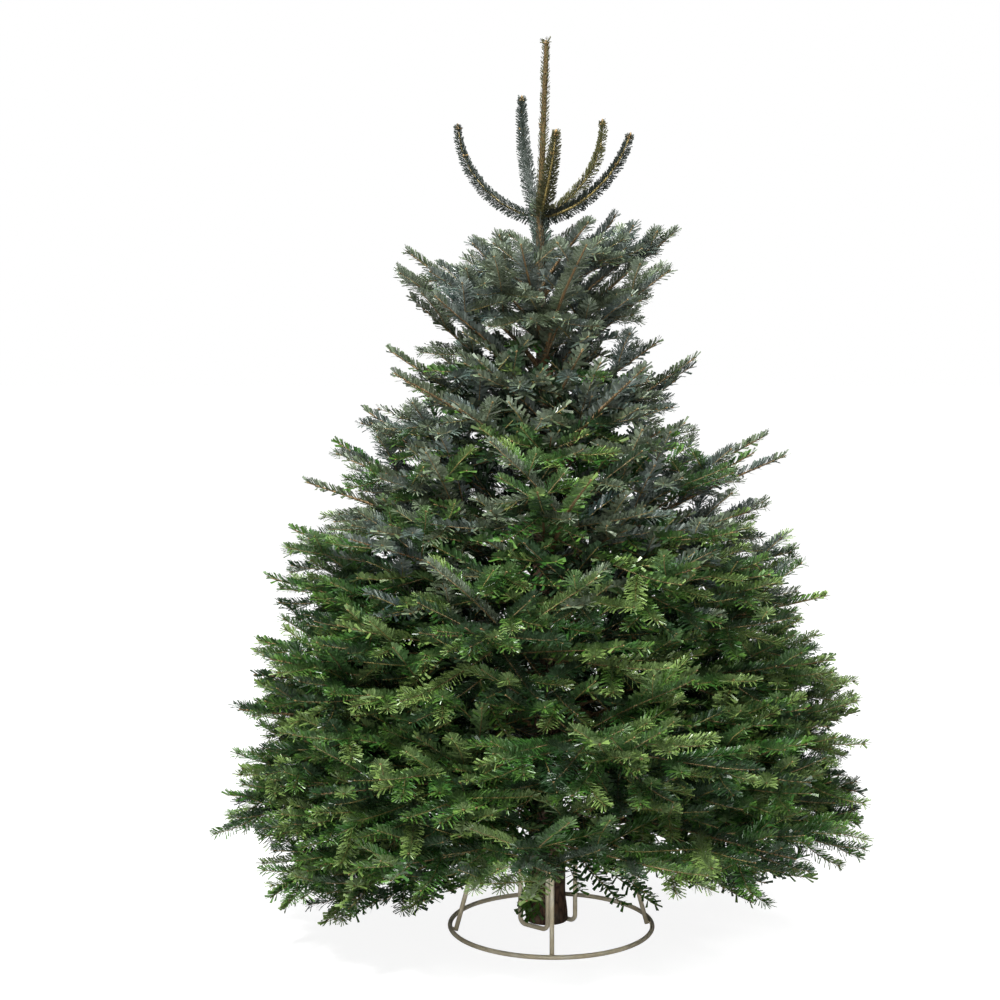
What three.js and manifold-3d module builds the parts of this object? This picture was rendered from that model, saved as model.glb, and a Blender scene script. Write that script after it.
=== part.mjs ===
// A cut Nordmann-type fir, sold as a Christmas tree, standing in a welded wire ring stand.
// Millimetres, +Z up, the floor at Z = 0 and the stand's centre at the origin. +X is the tree's right
// when it is seen from its front, and the front looks along -Y.
//
// The tree is a trunk with its leader, tiers of boughs one or two years apart, and a mass of needle sprays
// at the end of each bough. Each shoot grows by the same rule: it leaves at a rise and an azimuth, bends
// steadily, and puts out pairs of side shoots along its length.
import * as THREE from "three";
import { mergeVertices } from "three/addons/utils/BufferGeometryUtils.js";
import Module from "manifold-3d";

const wasm = await Module();
wasm.setup();

const DEG = Math.PI / 180;
const AXIS_Y = new THREE.Vector3(0, 1, 0);
const AXIS_Z = new THREE.Vector3(0, 0, 1);
const NEARLY_UPRIGHT = 0.9;
const GAP = 0.3; // air kept between two pieces that meet

// ---- driving sizes of the stand ----
const ROD_RADIUS = 5;
const ROD_SIDES = 8;
const RING_RADIUS = 225; // centreline of the base ring
const RING_STEPS = 38;
const FOOT_RADIUS = 214.6; // the legs' feet, just inside the ring
const FOOT_HEIGHT = 1.6; // centre of a leg's cut end
const BEND_RADIUS = 15;
const BEND_STEPS = 2;
const SHOULDER_RADIUS = 170; // where a leg turns in towards the trunk
const SHOULDER_HEIGHT = 165;
const SHOULDER_DROP = 6; // how much lower the shoulder's inner end is
const CAGE_RADIUS = 61.5; // the four uprights round the trunk
const CAGE_FLOOR = 12; // centre height of the bars that carry the trunk
const CAGE_SHIFT = { x: -8, y: -4 }; // the cage was bent a little off the ring's middle
const LEGS = { left: 190, front: 269, right: 3, back: 92 }; // azimuths

// ---- driving sizes of the trunk ----
const flatRadius = ROD_RADIUS * Math.cos(Math.PI / ROD_SIDES); // centre to flat of the rod's section
const TRUNK_FOOT = CAGE_FLOOR + flatRadius + GAP;
const TRUNK_SIDES = 10;
// height, radius, sway in X, sway in Y
const TRUNK = [
  [TRUNK_FOOT, 45.5, -10, -3],
  [TRUNK_FOOT + 8, 47, -10, -3],
  [70, 43, -10, -2],
  [240, 38, -11, 3],
  [400, 34, -12, 5],
  [560, 30, -15, 5],
  [760, 25, -18, 2],
  [980, 19.5, -19, -2],
  [1235, 13.5, -22, -4],
  [1400, 10.5, -25, -3],
  [1565, 8.5, -27, 0],
  [1610, 6.5, -26, 0],
  [1760, 5.8, -21, 2],
  [1915, 5, -15, 2],
  [1928, 7.5, -15, 2],
  [1940, 2.5, -15, 2],
];

// ---- driving sizes of the crown ----
// One row per tier: height where its boughs leave the trunk, their number, the azimuth of the first, the
// horizontal reach to the tips, how much more steeply its front boughs rise, the rise at the trunk and the
// fall to the tip in degrees, years of growth, the share of a bough that is bare wood, the thickness of its
// needle coat, and the distance between its pairs of side shoots.
const TIERS = [
  {
    height: 1235, boughs: 4, first: 187, reach: 302, lift: 0, rise: 54, fall: 26,
    years: 2, bare: 0.24, coat: 40, spacing: 52,
  },
  {
    height: 980, boughs: 4, first: 215, reach: 412, lift: 0, rise: 46, fall: 30,
    years: 3, bare: 0.26, coat: 46, spacing: 63,
  },
  {
    height: 745, boughs: 4, first: 190, reach: 540, lift: 0, rise: 39, fall: 30,
    years: 4, bare: 0.28, coat: 54, spacing: 72,
  },
  {
    height: 545, boughs: 4, first: 262, reach: 628, lift: 0, rise: 31, fall: 28,
    years: 5, bare: 0.3, coat: 60, spacing: 74,
  },
  {
    height: 378, boughs: 4, first: 196, reach: 694, lift: 0, rise: 25, fall: 25,
    years: 6, bare: 0.32, coat: 64, spacing: 74,
  },
  {
    height: 228, boughs: 4, first: 178, reach: 728, lift: 9, rise: 11, fall: 20,
    years: 7, bare: 0.32, coat: 64, spacing: 74,
  },
];
// Height of the crown's outline, and its radius on the left and on the right. No shoot but a bough's own tip
// passes it.
const OUTLINE = [
  [110, 610, 560],
  [160, 690, 690],
  [260, 740, 740],
  [433, 700, 710],
  [535, 700, 705],
  [646, 665, 675],
  [757, 630, 615],
  [852, 620, 595],
  [949, 540, 545],
  [1085, 480, 500],
  [1150, 440, 380],
  [1277, 370, 345],
  [1387, 325, 260],
  [1460, 345, 285],
  [1570, 270, 270],
];
const TIP_LIFT = 12; // degrees by which a shoot's tip turns up again
const BOUGH_JITTER = 7; // how much boughs differ: azimuth, sideways bend and rise in degrees,
const BOUGH_TURN = 8;
const BOUGH_RISE = 3;
const BOUGH_REACH = 0.03; // reach as a share, and height
const BOUGH_HEIGHT = 14;
const FLOOR_CLEAR = 105; // the lowest a side shoot's tip may hang
const FRONT_CLEAR = 150; // and how much higher that is at the front, over the stand
const BOUGH_ROOT_RADIUS = 3.2; // a bough's radius at the trunk, plus one millimetre a year
const YEAR_RADIUS = 1;
const TWIG_RADIUS = 2.6;
const SIDE_TAPER = 0.003; // how much thicker a side shoot's root is, against its length
const SIDE_COLLAR = 13; // bare foot of a side shoot, which starts in its parent's middle
const BOUGH_SIDES = 5;
const BOUGH_STEPS = 3;

// The five shoots of the newest tier: azimuth, rise, length, and how far the rise grows to the tip.
const TOP_HEIGHT = 1562;
const TOP_COAT = 25;
const TOP_COLLAR = 36; // bare foot of a shoot that starts in the trunk's middle
const TRUNK_COLLAR = 50;
const TOP_SHOOTS = [
  { azimuth: 152, rise: 9, length: 317, steepen: 79 },
  { azimuth: 105, rise: 35, length: 328, steepen: 59 },
  { azimuth: 283, rise: 42, length: 225, steepen: 28 },
  { azimuth: 18, rise: 25, length: 274, steepen: 68 },
  { azimuth: 317, rise: 5, length: 316, steepen: 63 },
];
// Boughs between the tiers, which are foliage from the trunk on: two thin ones high up, and a heavy one that
// hangs low at the front's left.
const LONE_BOUGHS = [
  {
    height: 1395, azimuth: 344, rise: 40, fall: -8, length: 262,
    bare: 0.05, coat: 38, spacing: 62, orders: 1,
  },
  {
    height: 1405, azimuth: 165, rise: 38, fall: 4, length: 190,
    bare: 0.05, coat: 38, spacing: 62, orders: 1,
  },
  {
    height: 300, azimuth: 225, rise: 7, fall: 43, length: 650,
    bare: 0.2, coat: 62, spacing: 84, orders: 2,
  },
];

// ---- seeds of the chance that makes each piece a little different ----
const TIER_SEED = 100;
const BOUGH_SEED = 17;
const TOP_SEED = 50;
const LONE_SEED = 60;

// ---- the branching rule ----
// Side shoots stand in pairs, which come by turns: the roll of each pair about its parent from straight
// above, and its length against that of a level pair.
const PAIRS = [
  { roll: 92, share: 1 },
  { roll: 134, share: 0.8 },
  { roll: 46, share: 0.8 },
];
const MOST_SHOOTS = 12; // a mass with this many branches no further
const LINE_STEPS = 24;
const SIDE_ANGLE = 70; // a side shoot leaves its parent's root at this angle
const SIDE_NARROWS = 26; // and its parent's tip at this much less
const SIDE_TURN = 14; // and turns forward again by this much
const SIDE_LEVEL = 0.5; // share of its rise that a side shoot loses to its tip
const SIDE_SHARE = 1.05; // its length as a share of what its parent grows beyond it
const SIDE_EXTRA = 20;
const SIDE_VARIES = { length: 0.12, angle: 6, roll: 10 }; // how much side shoots differ
const SIDE_BARE = 0.25; // share of a side shoot that puts out no shoots of its own
const SIDE_FIRST = 0.02; // how far past a mass's start its first pair stands
const ORDERS = 2; // how often side shoots branch again
const SHORTEST = [0, 2, 3.2]; // a shoot under this length is left out, by order, against the needle coat
const CUT_BACK = 0.8; // a shoot that would leave its space is made this much shorter, again and again

// ---- needle sprays: a three-sided core with a row of teeth on each face ----
const TOOTH_PITCH = 2.15; // length of shoot behind one tooth, against the thickness of the needle coat
const TOOTH_SWEEP = 0.8; // how far forward a tooth points, against the same
const END_REACH = 0.7; // how far a spray's pointed end stands past its last tooth, against the same
const TOOTH_VARIES = 0.14;
const TOOTH_CUT = 0.05; // the lowest share of a tooth, which may touch the other sprays of its mass
const CLEAR = 1; // a spray nearer than this to another piece is left out

const BARK = new THREE.MeshStandardMaterial({ color: 0x4a3327, roughness: 0.9, metalness: 0 });
const BOUGH_BARK = new THREE.MeshStandardMaterial({ color: 0x8a6236, roughness: 0.8, metalness: 0 });
const NEEDLES = new THREE.MeshStandardMaterial({ color: 0x35502a, roughness: 0.5, metalness: 0 });
const STAND_PAINT = new THREE.MeshStandardMaterial({ color: 0xa89b7c, roughness: 0.4, metalness: 0.3 });

// ---- seeded chance: the same numbers on every run ----
function chance(seed) {
  const value = Math.sin(seed * 12.9898) * 43758.5453;
  return value - Math.floor(value);
}

function spread(seed, amount) {
  return amount * (2 * chance(seed) - 1);
}

// ---- solids ----
// A solid from a list of corners and a list of triangles that face out.
function solidFrom(corners, triangles) {
  const mesh = new wasm.Mesh({
    numProp: 3,
    vertProperties: new Float32Array(corners.flatMap((c) => [c.x, c.y, c.z])),
    triVerts: new Uint32Array(triangles.flat()),
  });
  return new wasm.Manifold(mesh);
}

function solidOf(geometry) {
  const bare = geometry.clone();
  bare.deleteAttribute("normal");
  bare.deleteAttribute("uv");
  const merged = mergeVertices(bare, 1e-3);
  const mesh = new wasm.Mesh({
    numProp: 3,
    vertProperties: merged.attributes.position.array,
    triVerts: new Uint32Array(merged.index.array),
  });
  return new wasm.Manifold(mesh);
}

function meshOf(name, solid, material) {
  const made = solid.getMesh();
  const geometry = new THREE.BufferGeometry();
  geometry.setAttribute("position", new THREE.BufferAttribute(made.vertProperties, 3));
  geometry.setIndex(new THREE.BufferAttribute(made.triVerts, 1));
  geometry.computeVertexNormals();
  const mesh = new THREE.Mesh(geometry, material);
  mesh.name = name;
  return mesh;
}

// A limb of round section: rings of corners across a run of stations, closed by a flat cut at each end.
function limb(stations, sides) {
  const corners = [];
  const triangles = [];
  const turn = new THREE.Quaternion();
  const across = new THREE.Vector3();
  let previous = null;
  stations.forEach(({ point, radius }, i) => {
    const before = stations[Math.max(i - 1, 0)].point;
    const after = stations[Math.min(i + 1, stations.length - 1)].point;
    const ahead = new THREE.Vector3().subVectors(after, before).normalize();
    if (previous === null) {
      const upright = Math.abs(ahead.z) > NEARLY_UPRIGHT;
      across.crossVectors(ahead, upright ? AXIS_Y : AXIS_Z).normalize();
    } else {
      across.applyQuaternion(turn.setFromUnitVectors(previous, ahead));
    }
    previous = ahead;
    const second = new THREE.Vector3().crossVectors(ahead, across);
    for (let k = 0; k < sides; k += 1) {
      const angle = ((k + 0.5) / sides) * 2 * Math.PI;
      const corner = point.clone();
      corner.addScaledVector(across, radius * Math.cos(angle));
      corner.addScaledVector(second, radius * Math.sin(angle));
      corners.push(corner);
    }
  });
  const last = stations.length - 1;
  for (let i = 0; i < last; i += 1) {
    for (let k = 0; k < sides; k += 1) {
      const a = i * sides + k;
      const b = i * sides + ((k + 1) % sides);
      triangles.push([a, b, b + sides], [a, b + sides, a + sides]);
    }
  }
  for (let k = 1; k < sides - 1; k += 1) {
    triangles.push([0, k + 1, k], [last * sides, last * sides + k, last * sides + k + 1]);
  }
  return solidFrom(corners, triangles);
}

// ---- the stand ----
function baseRing() {
  const profile = [];
  for (let k = 0; k <= ROD_SIDES; k += 1) {
    const angle = ((k + 0.5) / ROD_SIDES) * 2 * Math.PI;
    const out = ROD_RADIUS * Math.cos(angle);
    profile.push(new THREE.Vector2(RING_RADIUS + out, ROD_RADIUS * Math.sin(angle)));
  }
  profile[ROD_SIDES].copy(profile[0]);
  const lathe = new THREE.LatheGeometry(profile, RING_STEPS);
  lathe.rotateX(Math.PI / 2);
  lathe.translate(0, 0, flatRadius);
  return solidOf(lathe);
}

// The path through these corners with each inner corner rounded to the bend radius.
function bentPath(corners) {
  const path = [corners[0]];
  for (let i = 1; i < corners.length - 1; i += 1) {
    const into = new THREE.Vector3().subVectors(corners[i], corners[i - 1]).normalize();
    const out = new THREE.Vector3().subVectors(corners[i + 1], corners[i]).normalize();
    const angle = into.angleTo(out);
    const cut = BEND_RADIUS * Math.tan(angle / 2);
    const from = corners[i].clone().addScaledVector(into, -cut);
    const centreWay = new THREE.Vector3().subVectors(out, into).normalize();
    const centre = corners[i].clone().addScaledVector(centreWay, BEND_RADIUS / Math.cos(angle / 2));
    const axis = new THREE.Vector3().crossVectors(into, out).normalize();
    for (let k = 0; k <= BEND_STEPS; k += 1) {
      const arm = from.clone().sub(centre).applyAxisAngle(axis, (angle * k) / BEND_STEPS);
      path.push(centre.clone().add(arm));
    }
  }
  path.push(corners[corners.length - 1]);
  return path;
}

// One bent rod: foot on the ring, leg, shoulder, upright, bar under the trunk, and the same back down to the
// ring at the next leg.
function standRod(first, second) {
  const at = (radius, turn, height) =>
    new THREE.Vector3(radius * Math.cos(turn * DEG), radius * Math.sin(turn * DEG), height);
  const shift = new THREE.Vector3(CAGE_SHIFT.x, CAGE_SHIFT.y, 0);
  const side = (turn) => [
    at(FOOT_RADIUS, turn, FOOT_HEIGHT),
    at(SHOULDER_RADIUS, turn, SHOULDER_HEIGHT),
    at(CAGE_RADIUS, turn, SHOULDER_HEIGHT - SHOULDER_DROP).add(shift),
    at(CAGE_RADIUS, turn, CAGE_FLOOR).add(shift),
  ];
  const corners = [...side(first), ...side(second).reverse()];
  return limb(bentPath(corners).map((point) => ({ point, radius: ROD_RADIUS })), ROD_SIDES);
}

// ---- the trunk ----
function trunk(extra) {
  const stations = TRUNK.map(([height, radius, x, y]) => ({
    point: new THREE.Vector3(x, y, height),
    radius: radius + extra,
  }));
  return limb(stations, TRUNK_SIDES);
}

function trunkAt(height) {
  const above = TRUNK.findIndex((row) => row[0] > height);
  const [h0, r0, x0, y0] = TRUNK[above - 1];
  const [h1, r1, x1, y1] = TRUNK[above];
  const share = (height - h0) / (h1 - h0);
  const mix = THREE.MathUtils.lerp;
  const point = new THREE.Vector3(mix(x0, x1, share), mix(y0, y1, share), height);
  return { point, radius: mix(r0, r1, share) };
}

// ---- lines that limbs and shoots follow ----
function riseAt(line, share) {
  return line.rise - line.fall * share + TIP_LIFT * share ** 4;
}

function headingAt(line, share) {
  const azimuth = (line.azimuth + line.turn * share) * DEG;
  const rise = riseAt(line, share) * DEG;
  const flat = Math.cos(rise);
  return new THREE.Vector3(flat * Math.cos(azimuth), flat * Math.sin(azimuth), Math.sin(rise));
}

// The directions along a line, level across it to the left, and square to both above.
function axesAt(line, share) {
  const ahead = headingAt(line, share);
  const side = new THREE.Vector3(-ahead.y, ahead.x, 0).normalize();
  const above = new THREE.Vector3().crossVectors(ahead, side);
  return { ahead, side, above };
}

// A shoot's centreline, from where it starts: it turns in azimuth and falls in rise steadily to its tip.
function growLine(start, length, azimuth, rise, turn, fall) {
  const line = { length, azimuth, rise, turn, fall, points: [start.clone()] };
  for (let i = 0; i < LINE_STEPS; i += 1) {
    const step = headingAt(line, (i + 0.5) / LINE_STEPS).multiplyScalar(length / LINE_STEPS);
    line.points.push(line.points[i].clone().add(step));
  }
  return line;
}

function pointAt(line, share) {
  const place = Math.min(share, 1) * LINE_STEPS;
  const i = Math.min(Math.floor(place), LINE_STEPS - 1);
  return line.points[i].clone().lerp(line.points[i + 1], place - i);
}

// A bough's line from the trunk's middle to its tip, as long as its reach asks for.
function boughLine(tier, number, seed) {
  const azimuth = tier.first + (360 / tier.boughs) * number + spread(seed, BOUGH_JITTER);
  const reach = tier.reach * (1 + spread(seed + 1, BOUGH_REACH));
  const turn = spread(seed + 2, BOUGH_TURN);
  const rise = tier.rise + spread(seed + 3, BOUGH_RISE) - tier.lift * Math.min(Math.sin(azimuth * DEG), 0);
  const start = trunkAt(tier.height + spread(seed + 4, BOUGH_HEIGHT)).point;
  const trial = growLine(start, 1, azimuth, rise, turn, tier.fall);
  const way = new THREE.Vector3().subVectors(trial.points[LINE_STEPS], start);
  const length = (reach - END_REACH * tier.coat) / Math.hypot(way.x, way.y);
  return growLine(start, length, azimuth, rise, turn, tier.fall);
}

function boughRadius(years, share) {
  const root = BOUGH_ROOT_RADIUS + YEAR_RADIUS * years;
  return TWIG_RADIUS + (root - TWIG_RADIUS) * (1 - share);
}

// The side shoots of a line, from a share of its length on.
function sideLines(line, seed, from, spacing) {
  const found = [];
  const pairs = Math.floor(line.length / spacing);
  const first = Math.max(0, Math.ceil(from * pairs - 0.5));
  for (let number = first; number < pairs; number += 1) {
    const share = (number + 0.5) / pairs;
    const { roll, share: size } = PAIRS[(number + seed) % PAIRS.length];
    const full = (SIDE_SHARE * (1 - share) * line.length + SIDE_EXTRA) * size;
    for (const hand of [-1, 1]) {
      const luck = seed + 10 * number + hand;
      const length = full * (1 + spread(luck, SIDE_VARIES.length));
      const { ahead, side, above } = axesAt(line, share);
      const angle = (SIDE_ANGLE - SIDE_NARROWS * share + spread(luck + 3, SIDE_VARIES.angle)) * DEG;
      const turned = (hand * roll + spread(luck + 6, SIDE_VARIES.roll)) * DEG;
      const way = ahead.clone().multiplyScalar(Math.cos(angle));
      way.addScaledVector(above, Math.sin(angle) * Math.cos(turned));
      way.addScaledVector(side, Math.sin(angle) * Math.sin(turned));
      const rise = Math.asin(way.z) / DEG;
      const azimuth = Math.atan2(way.y, way.x) / DEG;
      const turn = -SIDE_TURN * Math.sin(turned);
      const start = pointAt(line, share);
      found.push({ start, length, azimuth, rise, turn, fall: SIDE_LEVEL * rise, seed: luck * 7 + 3 });
    }
  }
  return found;
}

// ---- needle sprays ----
// The rings of a spray's three-sided core along a line, from one share of it on, and its pointed end. The
// first step is a bare collar that long.
function coreOf(line, from, rootRadius, coat, collar) {
  const foot = from + collar / line.length;
  const count = Math.max(2, Math.round((line.length * (1 - foot)) / (TOOTH_PITCH * coat)));
  const shares = Array.from({ length: count + 1 }, (_, i) => foot + ((1 - foot) * i) / count);
  if (collar > 0) {
    shares.unshift(from);
  }
  const frames = [];
  const corners = [];
  for (const share of shares) {
    const axes = axesAt(line, share);
    const radius = rootRadius + (TWIG_RADIUS - rootRadius) * ((share - from) / (1 - from));
    const point = pointAt(line, share);
    frames.push({ point, ...axes });
    for (let k = 0; k < 3; k += 1) {
      const angle = (60 + 120 * k) * DEG;
      const corner = point.clone().addScaledVector(axes.above, radius * Math.cos(angle));
      corners.push(corner.addScaledVector(axes.side, radius * Math.sin(angle)));
    }
  }
  const steps = shares.length - 1;
  corners.push(frames[steps].point.clone().addScaledVector(frames[steps].ahead, END_REACH * coat));
  return { frames, corners, steps, coat, bareSteps: collar > 0 ? 1 : 0 };
}

// The four corners of one face of a core's step.
function faceOf(step, k) {
  const a = 3 * step + k;
  const b = 3 * step + ((k + 1) % 3);
  return [b, a, a + 3, b + 3];
}

// The tip of the tooth that stands on one face of a core's step.
function toothTip({ frames, coat }, step, k, luck) {
  const { point, ahead, side, above } = frames[step];
  const angle = (120 + 120 * k) * DEG;
  const reach = coat * (1 + spread(luck + 5 * step + k, TOOTH_VARIES));
  const tip = point.clone().lerp(frames[step + 1].point, 0.5);
  tip.addScaledVector(ahead, TOOTH_SWEEP * reach);
  tip.addScaledVector(above, reach * Math.cos(angle));
  return tip.addScaledVector(side, reach * Math.sin(angle));
}

// The solid of a spray with teeth on the faces that `tips` gives a tip for.
function sprayOf({ corners, steps }, tips) {
  const all = [...corners];
  const end = corners.length - 1;
  const last = 3 * steps;
  const triangles = [[0, 1, 2], [last + 1, last, end], [last + 2, last + 1, end], [last, last + 2, end]];
  for (let step = 0; step < steps; step += 1) {
    for (let k = 0; k < 3; k += 1) {
      const [a, b, c, d] = faceOf(step, k);
      const tip = tips[3 * step + k];
      if (tip) {
        const t = all.push(tip) - 1;
        triangles.push([a, b, t], [b, c, t], [c, d, t], [d, a, t]);
      } else {
        triangles.push([a, b, d], [b, c, d]);
      }
    }
  }
  return solidFrom(all, triangles);
}

// One tooth by itself, cut off at a share of its height.
function toothSolid({ corners }, step, k, tip, cut) {
  const base = faceOf(step, k).map((corner) => corners[corner].clone().lerp(tip, cut));
  return solidFrom([...base, tip], [[0, 1, 4], [1, 2, 4], [2, 3, 4], [3, 0, 4], [1, 0, 3], [3, 2, 1]]);
}

// The largest body of a fused solid: hollows that fusing sealed are filled, and loose scraps are dropped.
function oneBody(solid) {
  return solid.decompose().reduce((best, shell) => (shell.volume() > best.volume() ? shell : best));
}

const boxesMeet = (a, b) =>
  [0, 1, 2].every((i) => a.min[i] - CLEAR <= b.max[i] && b.min[i] - CLEAR <= a.max[i]);

function isClear(piece, others) {
  const box = piece.boundingBox();
  return others.every((other) => !boxesMeet(box, other.box) || piece.minGap(other.solid, CLEAR) >= CLEAR);
}

const boxed = (solid) => ({ solid, box: solid.boundingBox() });

// The crown's radius at a point's height, between that of its left and of its right.
function outlineRadius(point) {
  const above = OUTLINE.findIndex((row) => row[0] > point.z);
  if (above < 1) {
    return 0;
  }
  const [h0, left0, right0] = OUTLINE[above - 1];
  const [h1, left1, right1] = OUTLINE[above];
  const share = (point.z - h0) / (h1 - h0);
  const mix = THREE.MathUtils.lerp;
  const across = 0.5 + (0.5 * point.x) / Math.hypot(point.x, point.y);
  return mix(mix(left0, left1, share), mix(right0, right1, share), across);
}

function isInside(line, coat) {
  const tip = line.points[LINE_STEPS];
  const radius = Math.hypot(tip.x, tip.y);
  const lowest = FLOOR_CLEAR + FRONT_CLEAR * Math.max(0, -tip.y / radius) ** 6;
  return tip.z > lowest && radius + END_REACH * coat <= outlineRadius(tip);
}

// The axis of a mass: its line and its core, from a share of the line on.
function axisOf(name, line, seed, from, rootRadius, size, orders, collar) {
  const core = coreOf(line, from, rootRadius, size.coat, collar);
  const sidesFrom = from + collar / line.length + SIDE_FIRST;
  return { name, line, seed, sidesFrom, size, orders, core, body: boxed(sprayOf(core, [])) };
}

// All the sprays of one mass: its axis, and the side shoots whose cores keep clear of every other piece. A
// tooth that would touch another piece or another spray of the mass is left out.
function massOf({ line, seed, sidesFrom, size, orders, core: axis }, others) {
  const { coat, spacing } = size;
  const cores = [axis];
  let sides = orders > 0 ? sideLines(line, seed, sidesFrom, spacing) : [];
  for (let order = 1; order <= orders; order += 1) {
    const next = [];
    for (const side of sides) {
      const full = order > 1 && cores.length >= MOST_SHOOTS;
      for (let length = side.length; !full && length >= SHORTEST[order] * coat; length *= CUT_BACK) {
        const shoot = growLine(side.start, length, side.azimuth, side.rise, side.turn, side.fall);
        const core = coreOf(shoot, 0, TWIG_RADIUS + SIDE_TAPER * length, coat, SIDE_COLLAR);
        if (isInside(shoot, coat) && isClear(sprayOf(core, []), others)) {
          cores.push(core);
          next.push(...sideLines(shoot, side.seed, SIDE_BARE, spacing));
          break;
        }
      }
    }
    sides = next;
  }
  const plainSprays = cores.map((core) => boxed(sprayOf(core, [])));
  const teeth = [];
  const sprays = cores.map((core, number) => {
    const nearby = [...plainSprays.filter((_, k) => k !== number), ...teeth];
    const tips = [];
    for (let step = core.bareSteps; step < core.steps; step += 1) {
      for (let k = 0; k < 3; k += 1) {
        const tip = toothTip(core, step, k, seed + number);
        const free = isClear(toothSolid(core, step, k, tip, 0), others);
        if (free && isClear(toothSolid(core, step, k, tip, TOOTH_CUT), nearby)) {
          tips[3 * step + k] = tip;
        }
      }
    }
    tips.forEach((tip, place) => {
      teeth.push(boxed(toothSolid(core, Math.floor(place / 3), place % 3, tip, TOOTH_CUT)));
    });
    return sprayOf(core, tips);
  });
  return oneBody(wasm.Manifold.union(sprays));
}

// ---- the whole tree ----
const tree = new THREE.Group();
const placed = [];

function place(name, solid, material) {
  placed.push(boxed(solid));
  tree.add(meshOf(name, solid, material));
}

place("stand_ring", baseRing(), STAND_PAINT);
place("stand_rod_left_front", standRod(LEGS.left, LEGS.front), STAND_PAINT);
place("stand_rod_right_back", standRod(LEGS.right, LEGS.back), STAND_PAINT);
place("trunk", trunk(0), BARK);
const trunkBody = placed[placed.length - 1];

const trunkClearance = trunk(GAP);
const boughs = TIERS.flatMap((tier, t) =>
  Array.from({ length: tier.boughs }, (_, number) => {
    const seed = TIER_SEED * (t + 1) + BOUGH_SEED * number;
    const name = `tier${t + 2}_${number + 1}`;
    return { name, tier, seed, line: boughLine(tier, number, seed) };
  }),
);

for (const { name, tier, line } of boughs) {
  const stations = [];
  for (let i = 0; i <= BOUGH_STEPS; i += 1) {
    const share = (tier.bare * i) / BOUGH_STEPS;
    stations.push({ point: pointAt(line, share), radius: boughRadius(tier.years, share) });
  }
  place(`bough_${name}`, limb(stations, BOUGH_SIDES).subtract(trunkClearance), BOUGH_BARK);
}

const axes = TOP_SHOOTS.map((top, number) => {
  const length = top.length - END_REACH * TOP_COAT;
  const line = growLine(trunkAt(TOP_HEIGHT).point, length, top.azimuth, top.rise, 0, TIP_LIFT - top.steepen);
  const seed = TOP_SEED + number;
  return axisOf(`top_${number + 1}`, line, seed, 0, TWIG_RADIUS + 1, { coat: TOP_COAT }, 0, TOP_COLLAR);
});

LONE_BOUGHS.forEach((lone, number) => {
  const { height, length, azimuth, rise, fall, orders } = lone;
  const line = growLine(trunkAt(height).point, length - END_REACH * lone.coat, azimuth, rise, 0, fall);
  const collar = lone.bare * line.length;
  const seed = LONE_SEED + number;
  axes.push(axisOf(`lone_${number + 1}`, line, seed, 0, TWIG_RADIUS + orders, lone, orders, collar));
});

for (const { name, tier, seed, line } of boughs) {
  const from = tier.bare + GAP / line.length;
  axes.push(axisOf(name, line, seed, from, boughRadius(tier.years, tier.bare), tier, ORDERS, 0));
}

// Shoots that grow on the trunk itself start inside it, and are cut back to stand just clear of it.
const onTrunk = axes.filter((axis) => !boughs.some(({ name }) => name === axis.name));
for (const axis of axes) {
  const fromTrunk = onTrunk.includes(axis);
  const rest = axes.filter((other) => other !== axis && !(fromTrunk && onTrunk.includes(other)));
  const others = [...placed, ...rest.map((other) => other.body)].filter(
    (other) => !(fromTrunk && other === trunkBody),
  );
  const mass = massOf(axis, others);
  place(`foliage_${axis.name}`, fromTrunk ? mass.subtract(trunkClearance) : mass, NEEDLES);
}

export default tree;
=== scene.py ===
"""A cut fir tree with dense needle sprays, standing in a bent-wire ring stand.

Every shoot grows from the limb that carries it by one rule, which the part's solids follow too. Lengths are
in millimetres while the tree grows, and become metres when a mesh is made.
"""

import math

import bmesh
import bpy
import numpy as np
from mathutils import Matrix, Vector, noise


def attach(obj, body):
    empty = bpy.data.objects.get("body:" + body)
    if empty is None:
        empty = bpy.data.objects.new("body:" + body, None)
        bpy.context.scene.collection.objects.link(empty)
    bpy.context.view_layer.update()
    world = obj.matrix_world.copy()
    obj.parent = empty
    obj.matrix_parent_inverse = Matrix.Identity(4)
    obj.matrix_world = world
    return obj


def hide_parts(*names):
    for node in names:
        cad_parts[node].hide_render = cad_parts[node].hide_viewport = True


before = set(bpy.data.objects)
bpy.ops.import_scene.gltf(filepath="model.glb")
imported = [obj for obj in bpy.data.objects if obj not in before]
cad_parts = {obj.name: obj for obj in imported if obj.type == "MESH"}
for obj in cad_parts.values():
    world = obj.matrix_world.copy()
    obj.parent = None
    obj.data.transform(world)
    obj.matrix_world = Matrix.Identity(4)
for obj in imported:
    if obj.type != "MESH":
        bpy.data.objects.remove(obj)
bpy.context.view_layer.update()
NODES = sorted(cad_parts)
MM = 0.001

# ---- the stand ----
ROD_RADIUS = 5.0
ROD_SIDES = 20
RING_RADIUS = 225.0
RING_STEPS = 128
RING_HEIGHT = 4.8
FOOT_RADIUS = 214.6
FOOT_HEIGHT = 2.4
BEND_RADIUS = 15.0
BEND_STEPS = 8
SHOULDER_RADIUS = 170.0
SHOULDER_HEIGHT = 165.0
SHOULDER_DROP = 6.0
CAGE_RADIUS = 61.5
CAGE_FLOOR = 12.0
CAGE_SHIFT = Vector((-8.0, -4.0, 0.0))
WELD_RADIUS = 3.4
WELD_IN = 5.4
WELD_APART = 3.6
WELD_HEIGHT = 6.2
UP = Vector((0.0, 0.0, 1.0))
LEG_PAIRS = {"stand_rod_left_front": (190.0, 269.0), "stand_rod_right_back": (3.0, 92.0)}

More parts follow.
